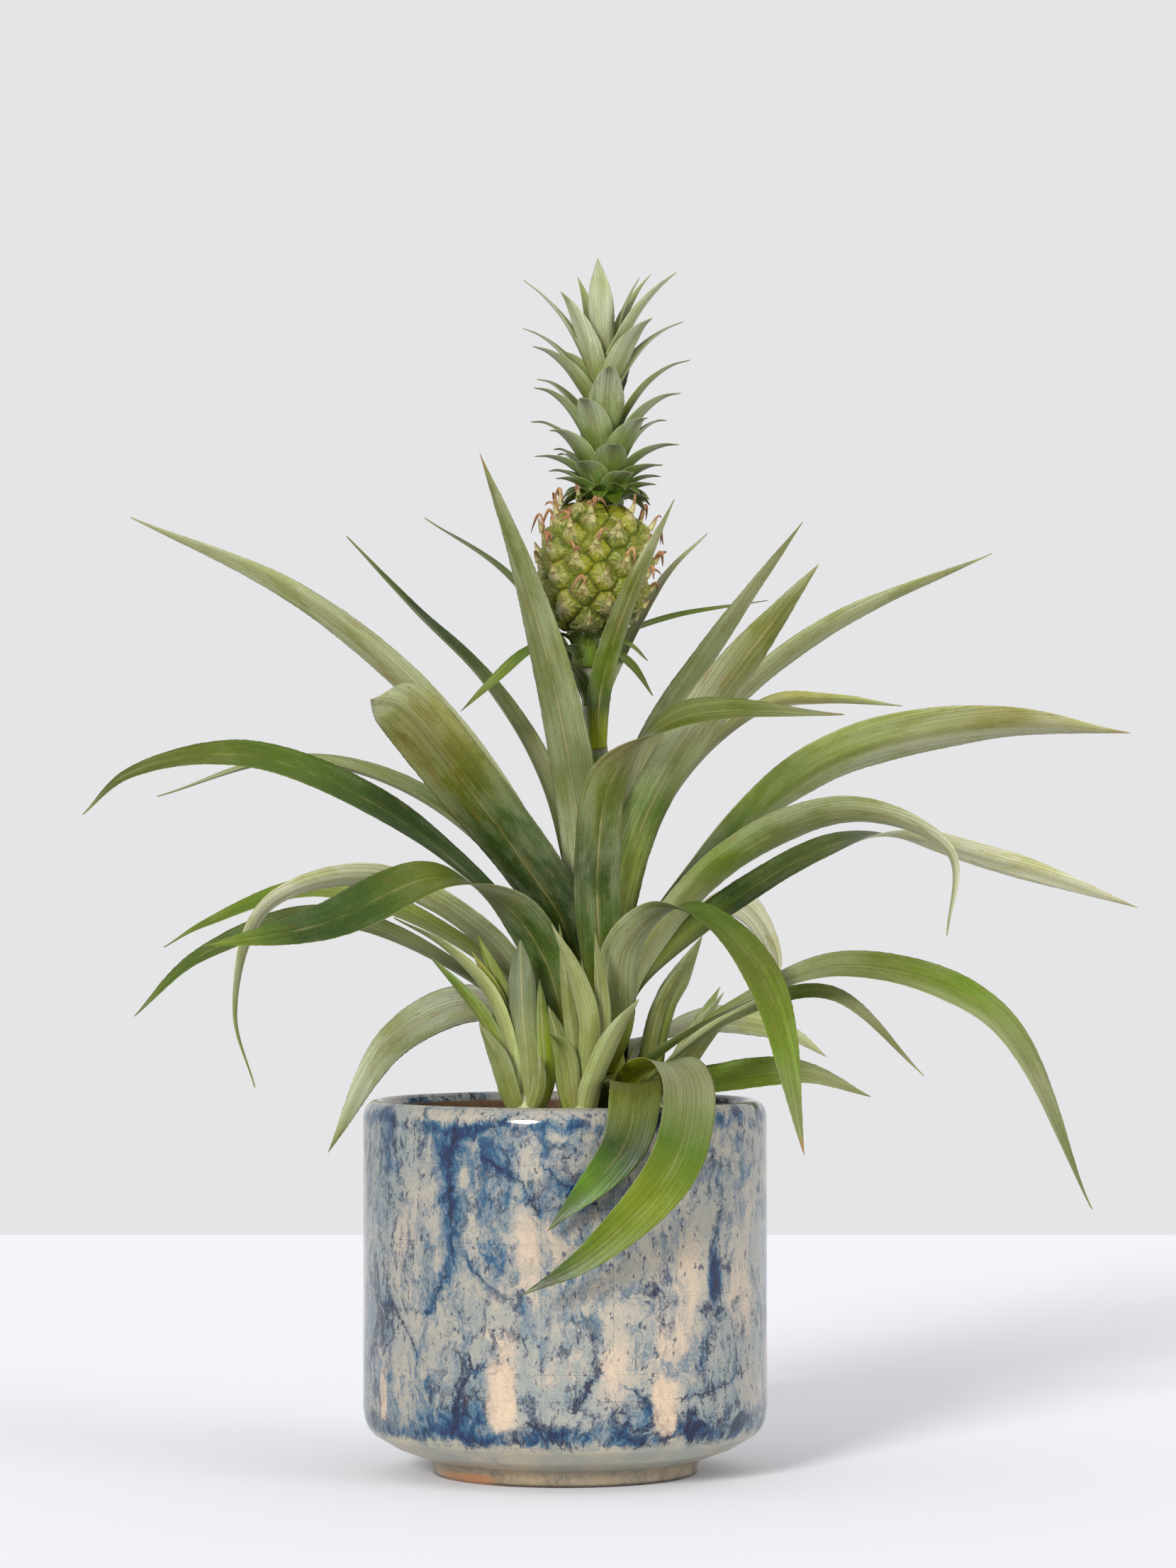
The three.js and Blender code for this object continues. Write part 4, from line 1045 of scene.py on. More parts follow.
# %% Veins
# Each runs through a few places, as bearing and height
VEINS = [
    [(-44, 60), (-36, 74), (-32, 90), (-34, 110), (-31, 134)], [(-31, 88), (-26, 80), (-21, 73), (-12, 70)],
    [(-66, 68), (-52, 61), (-42, 44)], [(14, 42), (24, 34), (27, 24)], [(30, 33), (44, 35), (64, 42)],
    [(1, 26), (7, 38), (13, 53)], [(-8, 118), (2, 110), (12, 102)],
    [(46, 64), (47, 76), (45, 88), (50, 104)], [(-26, 124), (-12, 112), (-6, 96)],
    [(110, 30), (118, 70), (112, 120)], [(150, 90), (164, 78), (178, 84)],
    [(-150, 34), (-136, 74), (-142, 124)],
]
VEIN_FAR = 30     # beyond its ends a vein counts as this far away
VEIN_FADE = 3     # and it fades out over this length, or this angle
DEGREE_OF_WALL = POT_RADIUS * math.pi / 180    # how long one degree of the wall is
VEIN_GROUPS = len(VEINS) // 3


def vein_offset(places):
    """How far each point of the pot is to one side of the vein, in millimetres."""
    places = np.array(places, float)
    rise = abs(places[-1, 1] - places[0, 1])
    upright = rise > abs(places[-1, 0] - places[0, 0]) * DEGREE_OF_WALL
    along, across, size, key = pot_bearing, pot_height, 1, places
    if upright:
        along, across, size, key = pot_height, pot_bearing, DEGREE_OF_WALL, places[:, ::-1]
    key = key[np.argsort(key[:, 0])]
    offset = (across - np.interp(along, key[:, 0], key[:, 1])) * size
    inside = np.clip(np.minimum(along - key[0, 0], key[-1, 0] - along) / VEIN_FADE, 0, 1)
    return offset + np.where(offset < 0, -VEIN_FAR, VEIN_FAR) * (1 - inside)


vein_offsets = [vein_offset(places) for places in VEINS]
print("veins:", len(vein_offsets))

# %% [markdown]
# ## Distance to the nearest vein
# A vein that runs straight from place to place looks drawn. One noise, added to all the distances, bends
# the veins and frays their edges. The smallest distance is the nearest vein's.


# %% Vein helper
def vein_gap(r, place):
    """The distance to the nearest vein in millimetres, with the veins bent by noise."""
    bends = r.noise(place, scale=95, detail=8, roughness=0.75, output="Color")
    bends = r.vector_math("MULTIPLY_ADD", bends, (16, 16, 16), (-8, -8, -8))
    nearest = float(VEIN_FAR)
    for group in range(VEIN_GROUPS):
        moved = r.vector_math("ADD", r.attribute(f"veins_{group}", "Vector"), bends)
        away = r.vector_math("ABSOLUTE", moved)
        for gap in r.node("ShaderNodeSeparateXYZ", {0: away}).outputs:
            nearest = r.math("MINIMUM", gap, nearest)
    return nearest


print("vectors that carry the veins:", VEIN_GROUPS)

# %% [markdown]
# ## Noises of the glaze
# Glaze runs downwards, so its patterns are longer than they are wide: each noise is squeezed in Z. All are
# bent by the same slow swirl and made once, so that colour, gloss and bumps agree.

# %% Glaze noises
SWIRL = (0.020, 0.020, 0.032)    # metres


def glaze_noises(r, place):
    swirl = r.noise(place, scale=40, detail=5, roughness=0.62, output="Color")
    warped = r.vector_math("MULTIPLY_ADD", swirl, SWIRL, place)
    mottle = r.noise(r.stretch(warped, (1, 1, 0.7)), scale=150, detail=6, roughness=0.75)
    return {
        "warped": warped,
        "mottle": mottle,
        "runs": r.noise(r.stretch(warped, (1, 1, 0.34)), scale=62, detail=6, roughness=0.66),
        "fibre": r.noise(r.stretch(warped, (1, 1, 0.20)), scale=330, detail=5, roughness=0.75),
        "clouds": r.noise(warped, scale=26, detail=8, roughness=0.66),
        "grain": r.noise(place, scale=1300, detail=3, roughness=0.8),
        "gap": r.add(vein_gap(r, place), r.step(mottle, 0.3, 0.7, -0.3, 0.45)),
    }


print("the swirl moves a pattern by up to", round(SWIRL[2] / MM), "mm")

# %% [markdown]
# ## Blue and peach
# How much cobalt or how little glaze lies at a point is one number each: the oval, plus or minus the
# noises. Cobalt also gathers at the lip, above the bevel and along the veins.

# %% Glaze amounts
BEVEL_BAND = (17, 24)     # the heights between which the cobalt above the bevel wanders
LIP_BAND = (136, 128)


def thin_amount(r, noises):
    thin = r.add(r.attribute("thin"), r.step(noises["runs"], 0.3, 0.7, -0.26, 0.26),
                 r.step(noises["mottle"], 0.3, 0.7, -0.16, 0.16),
                 r.step(noises["fibre"], 0.3, 0.7, -0.16, 0.16))
    return r.add(r.step(thin, 0.20, 0.80, 0, 0.6), r.step(thin, 0.60, 1.0, 0, 0.4))


def blue_amount(r, height, noises, peach):
    runs = noises["runs"]
    bevel_band = r.distance(height, r.step(runs, 0.3, 0.7, *BEVEL_BAND))
    lip_band = r.distance(height, r.step(runs, 0.3, 0.7, *LIP_BAND))
    blue = r.add(r.attribute("cobalt"), r.step(runs, 0.32, 0.68, 0.40, -0.34),
                 r.step(noises["mottle"], 0.32, 0.68, -0.38, 0.36),
                 r.step(noises["fibre"], 0.3, 0.7, -0.32, 0.30),
                 r.step(bevel_band, 5.0, 0.5, 0, 0.6), r.step(lip_band, 4.0, 0.5, 0, 0.65),
                 r.step(noises["gap"], 4.0, 0.3, 0, 0.45))
    return r.times(blue, r.step(peach, 0.3, 1, 1.0, 0.1))


print("cobalt gathers at the heights", BEVEL_BAND, "and", LIP_BAND)

# %% [markdown]
# ## Colour of the wall
# The layers are painted from the ground up: the grey beige glaze, the peach patches, the cobalt from pale
# to dark, the fine crackle inside it, the long veins, and specks and grain on top.

# %% Glaze colour
CRACKLE = [(34, 0.034, 0.9), (100, 0.045, 0.75)]   # scale, width, strength
SPECKS = [(540, 0.64, 0.5), (250, 0.70, 0.3)]      # scale, threshold, stretch downwards


def wall_colour(r, place, height, noises):
    warped, clouds, gap = noises["warped"], noises["clouds"], noises["gap"]
    peach = thin_amount(r, noises)
    blue = blue_amount(r, height, noises, peach)
    colour = r.mix(r.step(clouds, 0.36, 0.62), colour_of("bcb2a1"), colour_of("9aa09c"))
    colour = r.paint(colour, peach, "e2c8ac")
    colour = r.paint(colour, r.step(blue, -0.1, 0.55, 0, 0.8), "71838f")
    colour = r.paint(colour, r.step(blue, 0.45, 0.95, 0, 0.9), "33617f")
    colour = r.paint(colour, r.step(blue, 0.85, 1.35, 0, 0.95), "103f60")
    cracked = r.times(r.step(clouds, 0.42, 0.54), r.step(blue, -0.1, 0.4))
    for scale, width, strength in CRACKLE:
        ridge = r.noise(r.stretch(warped, (1, 1, 0.6)), scale=scale, detail=7, roughness=0.64)
        line = r.step(r.distance(ridge, 0.5), width, 0.1 * width, 0, strength)
        colour = r.paint(colour, r.times(line, cracked), "17304a")
    colour = r.paint(colour, r.step(gap, 0.65, 0.25, 0, 0.92), "152a40")
    for scale, low, drip in SPECKS:
        spots = r.noise(r.stretch(place, (1, 1, drip)), scale=scale, detail=2)
        speck = r.step(spots, low, low + 0.05, 0, 0.75)
        colour = r.paint(colour, r.times(speck, r.step(peach, 0.3, 0.9, 1, 0.1)), "2c4058")
    return r.brightness(colour, r.step(noises["grain"], 0.3, 0.7, 0.86, 1.12))


print("layers of fine crackle:", len(CRACKLE), "and of specks:", len(SPECKS))

# %% [markdown]
# ## Bevel, foot and inside
# Below the wall the glaze is plainer and duller, and lighter as painted light for the light thrown up from
# the floor onto the downward bevel. The foot ring shows bare clay where it was wiped, and painted shade and
# a painted contact shadow darken its lowest part.
# Inside, the clay is bare and stained by wet soil. One material does all this by height, so that no seam
# shows.

# %% Pot finish
BEVEL_TOP = (18.5, 15.5)    # from the wall's glaze to the bevel's
FOOT_TOP = (8.0, 4.5)
SHINY, DULL, ROUGH = ((value, value, value, 1) for value in (0.06, 0.25, 0.8))


def foot_colour(r, height, clouds, mottle):
    # the plain glaze of the bevel is partly painted light: lighter for the light that the floor throws onto
    # it
    plain = r.mix(r.step(clouds, 0.4, 0.62), colour_of("d2c5aa"), colour_of("b0b2a7"))
    plain = r.paint(plain, r.step(mottle, 0.58, 0.72, 0, 0.5), "6a727a")
    # the lowest part of the foot is browner and darker: partly its clay, partly painted shade near the floor
    low_foot_clay_and_shade = r.mix(r.step(mottle, 0.40, 0.66), colour_of("9c876e"), colour_of("645a48"))
    plain = r.mix(r.step(height, *FOOT_TOP, 0, 0.75), plain, low_foot_clay_and_shade)
    # a dark line along the foot's lowest edge: a painted contact shadow
    return r.paint(plain, r.step(height, 1.6, 0.4, 0, 0.8), "3d342b")


def glaze_finish():
    r = Recipe("cobalt_glaze")
    place = r.place()
    height = r.height(place)
    noises = glaze_noises(r, place)
    clouds, mottle, inside = noises["clouds"], noises["mottle"], r.attribute("inside")
    bevel = r.step(r.add(height, r.step(mottle, 0.3, 0.7, -2, 2)), *BEVEL_TOP)
    colour = r.mix(bevel, wall_colour(r, place, height, noises), foot_colour(r, height, clouds, mottle))
    bare = r.times(r.step(height, 4.6, 3.0), r.attribute("bare"))
    bare = r.times(bare, r.step(noises["runs"], 0.30, 0.60, 0.5, 1.2))
    colour = r.paint(colour, r.step(bare, 0.25, 1.0, 0, 0.9), "b5825f")
    stained = r.mix(r.step(clouds, 0.4, 0.6), colour_of("5f4535"), colour_of("7c614a"))
    colour = r.mix(inside, colour, stained)
    rough = r.mix(inside, r.mix(bevel, SHINY, DULL), ROUGH)
    wet = r.bump(r.add(clouds, r.times(mottle, 0.3)), 0.3, 0.3)
    return r.finish(Base_Color=colour, Roughness=rough, Normal=wet, Specular_IOR_Level=0.5)


glaze = glaze_finish()
print("nodes in the glaze:", len(glaze.node_tree.nodes))

# %% [markdown]
# ## Building the pot
# A wheel and a hand leave a pot a little uneven, which shows in its gloss. Here the wall is very slightly
# oval, more so towards the lip. The points carry the cobalt, the thin patches, the veins and the bare
# places.

# %% Build the pot
WIPED_BEARING = -44              # where the foot ring was wiped, from the front in degrees
WIPED_HALF_WIDTH = 24
BARE_INSIDE = (100.3, 135.7)     # the heights between which the inside can be seen and is bare
OVAL_SHARE = 0.0016

pot_reach = np.hypot(pot_points[:, 0], pot_points[:, 1])
bare_inside = pot_reach < POT_INNER_RADIUS + 1.3
bare_inside &= (pot_height > BARE_INSIDE[0]) & (pot_height < BARE_INSIDE[1])
pot_numbers = {
    "cobalt": cobalt,
    "thin": thin_glaze,
    "inside": bare_inside.astype(float),
    "bare": np.exp(-((pot_bearing - WIPED_BEARING) / WIPED_HALF_WIDTH) ** 2),
}
for group in range(VEIN_GROUPS):
    pot_numbers[f"veins_{group}"] = np.stack(vein_offsets[3 * group:3 * group + 3], axis=1)
oval = 1 + OVAL_SHARE * np.sin(np.radians(2 * pot_bearing) + 0.6) * np.clip(pot_height / POT_HEIGHT, 0, 1)
pot_points[:, :2] *= oval[:, None]
add_piece("fine_pot", pot_points, pot_faces, [glaze], "pot", pot_numbers)
print("bare points inside the pot:", int(bare_inside.sum()))

# %% [markdown]
# ## Soil
# Potting soil is dark crumbs that sink a little towards the wall. A displacement image would give the
# crumbs. A sum of small waves, each with its own direction and length, does it with numbers alone.

# %% Soil height
SOIL_ROWS = 70
SOIL_SIDES = 180
SOIL_RADIUS = 65.0
SOIL_SINK = 1.6         # how much lower the soil is at the wall
SINK_FROM = 56          # the radius where it begins to sink
SOIL_WAVES = 90
WAVE_HEIGHT = 0.045     # of a wave that is 1 mm long


def soil_height(x, y, rng):
    """Small bumps on a surface that falls slightly towards the wall."""
    height = SOIL_LEVEL - SOIL_SINK * np.clip((np.hypot(x, y) - SINK_FROM) / (SOIL_RADIUS - SINK_FROM), 0, 1)
    for _ in range(SOIL_WAVES):
        angle, length = rng.uniform(0, 2 * np.pi), rng.uniform(2.2, 9)
        height = height + WAVE_HEIGHT * length ** 0.5 * np.sin(
            (x * np.cos(angle) + y * np.sin(angle)) * 2 * np.pi / length + rng.uniform(0, 6.3))
    return height


buried = [(0, 8.3), (49.9, 9.3), (59.8, 12.3), (64.7, 20.3)] + [(SOIL_RADIUS, z) for z in (60, 110, 129)]
surface = [(SOIL_RADIUS * k / SOIL_ROWS, SOIL_LEVEL) for k in range(SOIL_ROWS, 0, -1)] + [(0, SOIL_LEVEL)]
soil_points, soil_faces = spin(buried + surface, SOIL_SIDES)
top = soil_points[:, 2] > SOIL_LEVEL - 1
soil_points[top, 2] = soil_height(soil_points[top, 0], soil_points[top, 1], np.random.default_rng(5))
print("soil from", round(soil_points[top, 2].min(), 1), "to", round(soil_points[top, 2].max(), 1), "mm high")

# %% [markdown]
# ## Soil finish
# The crumbs are dark brown with lighter flecks, and redder in places. A rough surface with a strong bump
# looks dry and loose.


# %% Soil finish
def soil_finish():
    r = Recipe("potting_soil")
    place = r.place()
    crumb = r.noise(place, scale=420, detail=5, roughness=0.75)
    patch = r.noise(place, scale=90, detail=3)
    colour = r.mix(r.step(crumb, 0.3, 0.7), colour_of("2b1d17"), colour_of("6a4a3a"))
    colour = r.paint(colour, r.step(patch, 0.5, 0.7, 0, 0.5), "7a4a34")
    return r.finish(Base_Color=colour, Roughness=0.95, Normal=r.bump(crumb, 0.9, 1.2))


add_piece("fine_soil", soil_points, soil_faces, [soil_finish()], "soil")
print("soil faces:", len(soil_faces))

# %% [markdown]
# ## Tubes
# The stalk and the withered flowers are tubes. A bevelled curve would do for a plain one. A ring of points
# that is carried along the path can also be flat, twist, and change its radius.


# %% Tube helper
def tube_faces(rows, sides):
    """Quads between rows of points, and a cap at each end."""
    faces = []
    for row in range(rows - 1):
        for k in range(sides):
            a, b = row * sides + k, row * sides + (k + 1) % sides
            faces.append((a, b, b + sides, a + sides))
    last = (rows - 1) * sides
    return faces + [tuple(range(sides))[::-1], tuple(range(last, last + sides))]


def tube(path, radii, sides=8, flat=1.0, twist=0.0):
    """A closed tube along path. flat squeezes its section, twist turns it along the way, in turns."""
    path = np.asarray(path, float)
    radii = np.asarray(radii, float)
    ahead = np.gradient(path, axis=0)
    ahead /= np.linalg.norm(ahead, axis=1)[:, None]
    guide = np.array([0.0, 1.0, 0.0]) if abs(ahead[0][1]) < 0.8 else np.array([1.0, 0.0, 0.0])
    side = np.cross(ahead, guide)
    side /= np.linalg.norm(side, axis=1)[:, None]
    other = np.cross(ahead, side)
    turn = np.linspace(0, twist * 2 * np.pi, len(path))[:, None] + np.arange(sides) / sides * 2 * np.pi
    ring = (path[:, None] + side[:, None] * (np.cos(turn) * radii[:, None])[..., None]
            + other[:, None] * (np.sin(turn) * radii[:, None] * flat)[..., None])
    return ring.reshape(-1, 3), tube_faces(len(path), sides)


print("faces of a tube with 3 rings:", len(tube_faces(3, 8)))

# %% [markdown]
# ## Stalk
# What shows of the stem is the slim stalk under the fruit, with a ring where each leaf was joined to it.
# The rings are small swellings of the radius, because on the plant the stem is one piece.

# %% Stalk shape
STEM_ROWS = 150
JOINT_RINGS = (262, 264.5, 296, 212, 236)
RING_SWELLING = 0.45
RING_HALF_HEIGHT = 0.8

stem_heights = np.linspace(stem_z[0], stem_z[-1], STEM_ROWS)
stem_path = np.stack([smooth_list(stem_at(stem_heights)[0], STEM_ROWS - 1, 0.02), np.zeros(STEM_ROWS),
                      stem_heights], axis=1)
stem_rings = np.interp(stem_heights, stem_z, stem_radius)
for height in JOINT_RINGS:
    stem_rings = stem_rings + RING_SWELLING * np.exp(-((stem_heights - height) / RING_HALF_HEIGHT) ** 2)
stem_points, stem_faces = tube(stem_path, stem_rings, 28)
print("stalk radius from", round(stem_rings.min(), 1), "to", round(stem_rings.max(), 1), "mm")

# %% [markdown]
# ## Stalk finish
# The stalk is grey and mealy above and dark lower down, and green where the youngest leaf clasps it and
# right under the fruit. These bands are set by height, with fibres and meal over them. The pale top and
# the green band at the clasp are lightened as painted light, where the collar and the leaves shade them.

# %% Stalk finish
CLASPED_HEIGHT = 259    # where the youngest leaf clasps the stalk


def stalk_finish():
    r = Recipe("mealy_stalk")
    place = r.place()
    height = r.height(place)
    fibre = r.noise(r.stretch(place, (1, 1, 0.12)), scale=900, detail=4)
    meal = r.noise(place, scale=700, detail=4, roughness=0.7)
    # the pale mealy top is partly painted light, lightened where the collar shades it
    colour = r.mix(r.step(height, 255, 272), colour_of("3a3b20"), colour_of("b5b297"))
    colour = r.paint(colour, r.step(height, 296, 302), "6f8a30")
    # the bright green band at the clasp is partly painted light, lightened where the leaves shade it
    colour = r.paint(colour, r.step(r.distance(height, CLASPED_HEIGHT), 9, 5), "76962a")
    colour = r.paint(colour, r.step(height, 190, 165), "a3a23a")
    mealy = r.times(r.step(meal, 0.45, 0.65, 0, 0.45), r.step(height, 258, 274, 0.35, 1))
    colour = r.paint(colour, mealy, "b0ad96")
    colour = r.brightness(colour, r.step(fibre, 0.3, 0.7, 0.82, 1.1))
    return r.finish(Base_Color=colour, Roughness=0.7, Normal=r.bump(fibre, 0.4, 0.3))


add_piece("fine_stem", stem_points, stem_faces, [stalk_finish()], "stem")
print("stem faces:", len(stem_faces))

# %% [markdown]
# ## Joining parts
# The collar, the fruit, the crown and each shoot grew as one piece, so each is one object here too. Blender
# could join finished objects. It is simpler to join the tables of numbers.


# %% Joining helper
def joined(parts):
    """Several (points, faces, face material, numbers) as one."""
    points, faces, materials, numbers, start = [], [], [], {}, 0
    for part_points, part_faces, part_materials, part_numbers in parts:
        points.append(part_points)
        faces += [tuple(k + start for k in face) for face in part_faces]
        materials += list(part_materials)
        for key, values in part_numbers.items():
            numbers.setdefault(key, []).append(np.asarray(values))
        start += len(part_points)
    return np.vstack(points), faces, materials, {key: np.concatenate(v) for key, v in numbers.items()}


def plain_part(points, faces, material, place=0.0, flat=None):
    """A part that isn't a blade, with the numbers that the leaf finish reads."""
    return points, faces, [material] * len(faces), {
        "flat": points if flat is None else flat, "edge": np.zeros(len(points)),
        "place": np.full(len(points), place)}


print("helpers for joined pieces: joined, plain_part")

# %% [markdown]
# ## Bracts of the collar
# Under the fruit the stalk carries a sheath and two rings of slim bracts. Those that the photograph shows
# have a row each: width, roll and points.

# %% Collar table
COLLAR_LOW, COLLAR_HIGH = 298.5, 310.2
COLLAR_BRACTS = [  # width, roll, points
    (3.2, [0, 40, 50], [(13, 9, 308), (23, 22, 313), (42, 37, 320), (78, 58, 327)]),
    (6.5, [0, -45, -60], [(-4, -2, 308), (-14, -2, 304), (-27, -2, 293), (-39, -2, 282)]),
    (4, [0, -45], [(-4, 6, 308), (-14, 8, 306), (-24, 10, 299)]),
    (4.5, [0, 50], [(17, 2, 308), (24, 2, 307), (31, 3, 301)]),
    (6, [0, 50, 55], [(15, 3, 305), (24, 5, 300), (33, 8, 288)]),
    (5, [0, 0], [(3, -8, 306), (-2, -12, 305), (-7, -14, 301)]),
    (6, [0, 0], [(9.5, -3.6, 288), (7, -5, 293), (4, -6, 298), (2, -6.4, 301)]),
]
UNDER_FRUIT_BRACTS = 8
SHEATH_ROOM = 0.4    # between the stalk and the sheath, beside the gap that all pieces keep
print("bracts:", len(COLLAR_BRACTS), "and", UNDER_FRUIT_BRACTS, "close under the fruit")

# %% [markdown]
# ## Parts of the collar
# The sheath is a thin ring that is spun like the pot. Bracts are small leaves, so the blade helper makes
# them. The ring close under the fruit is spaced evenly, since little of it can be seen.


# %% Collar helpers
def sheath(inner, middle):
    profile = [(inner, COLLAR_LOW), (inner + 0.7, COLLAR_LOW), (inner + 1, 305), (inner + 1.3, COLLAR_HIGH),
               (inner + 0.3, COLLAR_HIGH + 0.4), (inner, COLLAR_HIGH), (inner, COLLAR_LOW)]
    points, faces = spin(dense_profile(profile, 1.0), 40)
    aim = np.arctan2(points[:, 1], points[:, 0])
    flat = np.stack([aim * inner, points[:, 2], np.zeros(len(points))], axis=1)
    points[:, 0] += middle
    return plain_part(points, faces, 1, 0.05, flat)


def large_bract(number, inner, middle, width, roll, spine):
    x, y, z = spine[0]
    aim = math.atan2(y, x - middle)
    root = (middle + (inner + 0.6) * math.cos(aim), (inner + 0.6) * math.sin(aim), z - 4)
    return blade([root, *spine], (middle, 0), width, roll, [30, 30], 0.9, 0.35, 0.8, 0.8, 8, teeth=0.1,
                 seed=60 + number)


def under_fruit_bract(k, inner, middle):
    aim = k * 2 * math.pi / UNDER_FRUIT_BRACTS + 0.3
    course = ((inner + 0.5, 305), (inner + 1.8, 308.8), (9.5, 310.8), (13.5, 311.8 - k % 3))
    spine = [(middle + reach * math.cos(aim), reach * math.sin(aim), z + 0.5 * (k % 2))
             for reach, z in course]
    return blade(spine, (middle, 0), 5.5, [0, 0], [30, 30], 0.9, 0.35, 0.6, 0.6, 8, teeth=0.1, seed=80 + k)


collar_inner = STALK_TOP_RADIUS + SHEATH_ROOM + SEAT_GAP
collar_middle = float(stem_at((COLLAR_LOW + COLLAR_HIGH) / 2)[0])
print("the collar's inner radius:", round(collar_inner, 2), "mm")

# %% [markdown]
# ## Building the collar
# The parts become one piece. The tints run from the pale foot of a bract to its dry tip, for all parts in
# one go.

# %% Collar
collar_points, collar_faces, collar_material, collar_numbers = joined(
    [sheath(collar_inner, collar_middle)]
    + [large_bract(number, collar_inner, collar_middle, *row) for number, row in enumerate(COLLAR_BRACTS)]
    + [under_fruit_bract(k, collar_inner, collar_middle) for k in range(UNDER_FRUIT_BRACTS)])
collar_numbers["upper_tint"] = tints_along("lime green grass moss plum", collar_numbers["place"])
collar_numbers["under_tint"] = tints_along("bright green deep hazel plum", collar_numbers["place"])
add_piece("fine_collar", collar_points, collar_faces, [leaf_upper, leaf_under], "collar",
          collar_numbers, collar_material)
print("collar faces:", len(collar_faces))

# %% [markdown]
# ## Fruit
# A pineapple is many small fruits in one, and each leaves an eye. The eyes sit on a spiral, each a golden
# angle further round than the last. This rule makes the two families of rows by itself, which placing by
# hand would miss.

# %% Fruit eyes
FRUIT_RADIUS = 18.3
FRUIT_HALF_HEIGHT = 24
FRUIT_EYES = 55
EYE_MARGIN = 3.2    # the first and the last eye lie this far from the fruit's ends
FRUIT_PLACE = Matrix.Translation((10.8, 0, 335.2)) @ Matrix.Rotation(math.radians(9.4), 4, "Y")


def fruit_radius(height):
    share = np.minimum(np.abs(height) / FRUIT_HALF_HEIGHT, 1)
    return FRUIT_RADIUS * np.sqrt(1 - share ** 2.6)


eye_rng = np.random.default_rng(8)
eye_number = np.arange(FRUIT_EYES)
eye_height = ((eye_number + 0.5) / FRUIT_EYES * 2 - 1) * (FRUIT_HALF_HEIGHT - EYE_MARGIN)
eye_height = eye_height + eye_rng.uniform(-0.6, 0.6, FRUIT_EYES)
eye_bearing = eye_number * GOLDEN_ANGLE + eye_rng.uniform(-0.05, 0.05, FRUIT_EYES)
eye_ring = fruit_radius(eye_height)
eye_centre = np.stack([eye_ring * np.cos(eye_bearing), eye_ring * np.sin(eye_bearing), eye_height], axis=1)
eye_slope = (fruit_radius(eye_height - 1) - fruit_radius(eye_height + 1)) / 2
eye_out = np.stack([np.cos(eye_bearing), np.sin(eye_bearing), np.clip(eye_slope, -1.6, 1.6)], axis=1)
eye_out /= np.linalg.norm(eye_out, axis=1)[:, None]
eye_east = np.stack([-np.sin(eye_bearing), np.cos(eye_bearing), np.zeros(FRUIT_EYES)], axis=1)
print("eyes:", FRUIT_EYES, "from", round(eye_height.min(), 1), "to", round(eye_height.max(), 1), "mm")

# %% [markdown]
# ## Skin of the fruit
# The skin is first a smooth body, with the direction that each point is pushed in. Separate bosses would
# leave seams between the eyes. One surface that is pushed out has none.

# %% Fruit body
SKIN_ROWS = 210
SKIN_SIDES = 300


def fruit_body():
    """The smooth body's points and the outward direction at each."""
    height = (FRUIT_HALF_HEIGHT - 0.2) * np.sin(np.linspace(-np.pi / 2, np.pi / 2, SKIN_ROWS))
    ring = np.maximum(fruit_radius(height), 0.4)
    turn = np.arange(SKIN_SIDES) / SKIN_SIDES * 2 * np.pi
    slope = np.clip(-np.gradient(ring, height), -2.5, 2.5)
    body = np.stack([ring[:, None] * np.cos(turn), ring[:, None] * np.sin(turn),
                     np.repeat(height[:, None], SKIN_SIDES, 1)], axis=2).reshape(-1, 3)
    out = np.stack([np.repeat(np.cos(turn)[None], SKIN_ROWS, 0), np.repeat(np.sin(turn)[None], SKIN_ROWS, 0),
                    np.repeat(slope[:, None], SKIN_SIDES, 1)], axis=2).reshape(-1, 3)
    return body, out / np.linalg.norm(out, axis=1)[:, None]


fruit_smooth, fruit_out = fruit_body()
print("points on the skin:", len(fruit_smooth))

# %% [markdown]
# ## Relief of the eyes
# Each eye is a many-sided boss with a groove round it, and a pale bract covers its lower half. A point
# belongs to the nearest eye. How much further the next one is gives the distance to the groove, so the
# borders come out many-sided by themselves.

# %% Fruit relief
GROOVE_WIDTH = 0.4
SHOULDER_RISE = 1.5    # an eye rises this much from the groove at once,
PYRAMID_RISE = 2.0     # and this much more towards its middle
CREASE_RISE = 0.20
CLEFT_DEPTH = 0.6      # of the notch above the bract
BRACT_HALF_WIDTH = 4.4
BRACT_TOP = 3.4
BRACT_LENGTH = 7.6
BRACT_RISE = 0.8


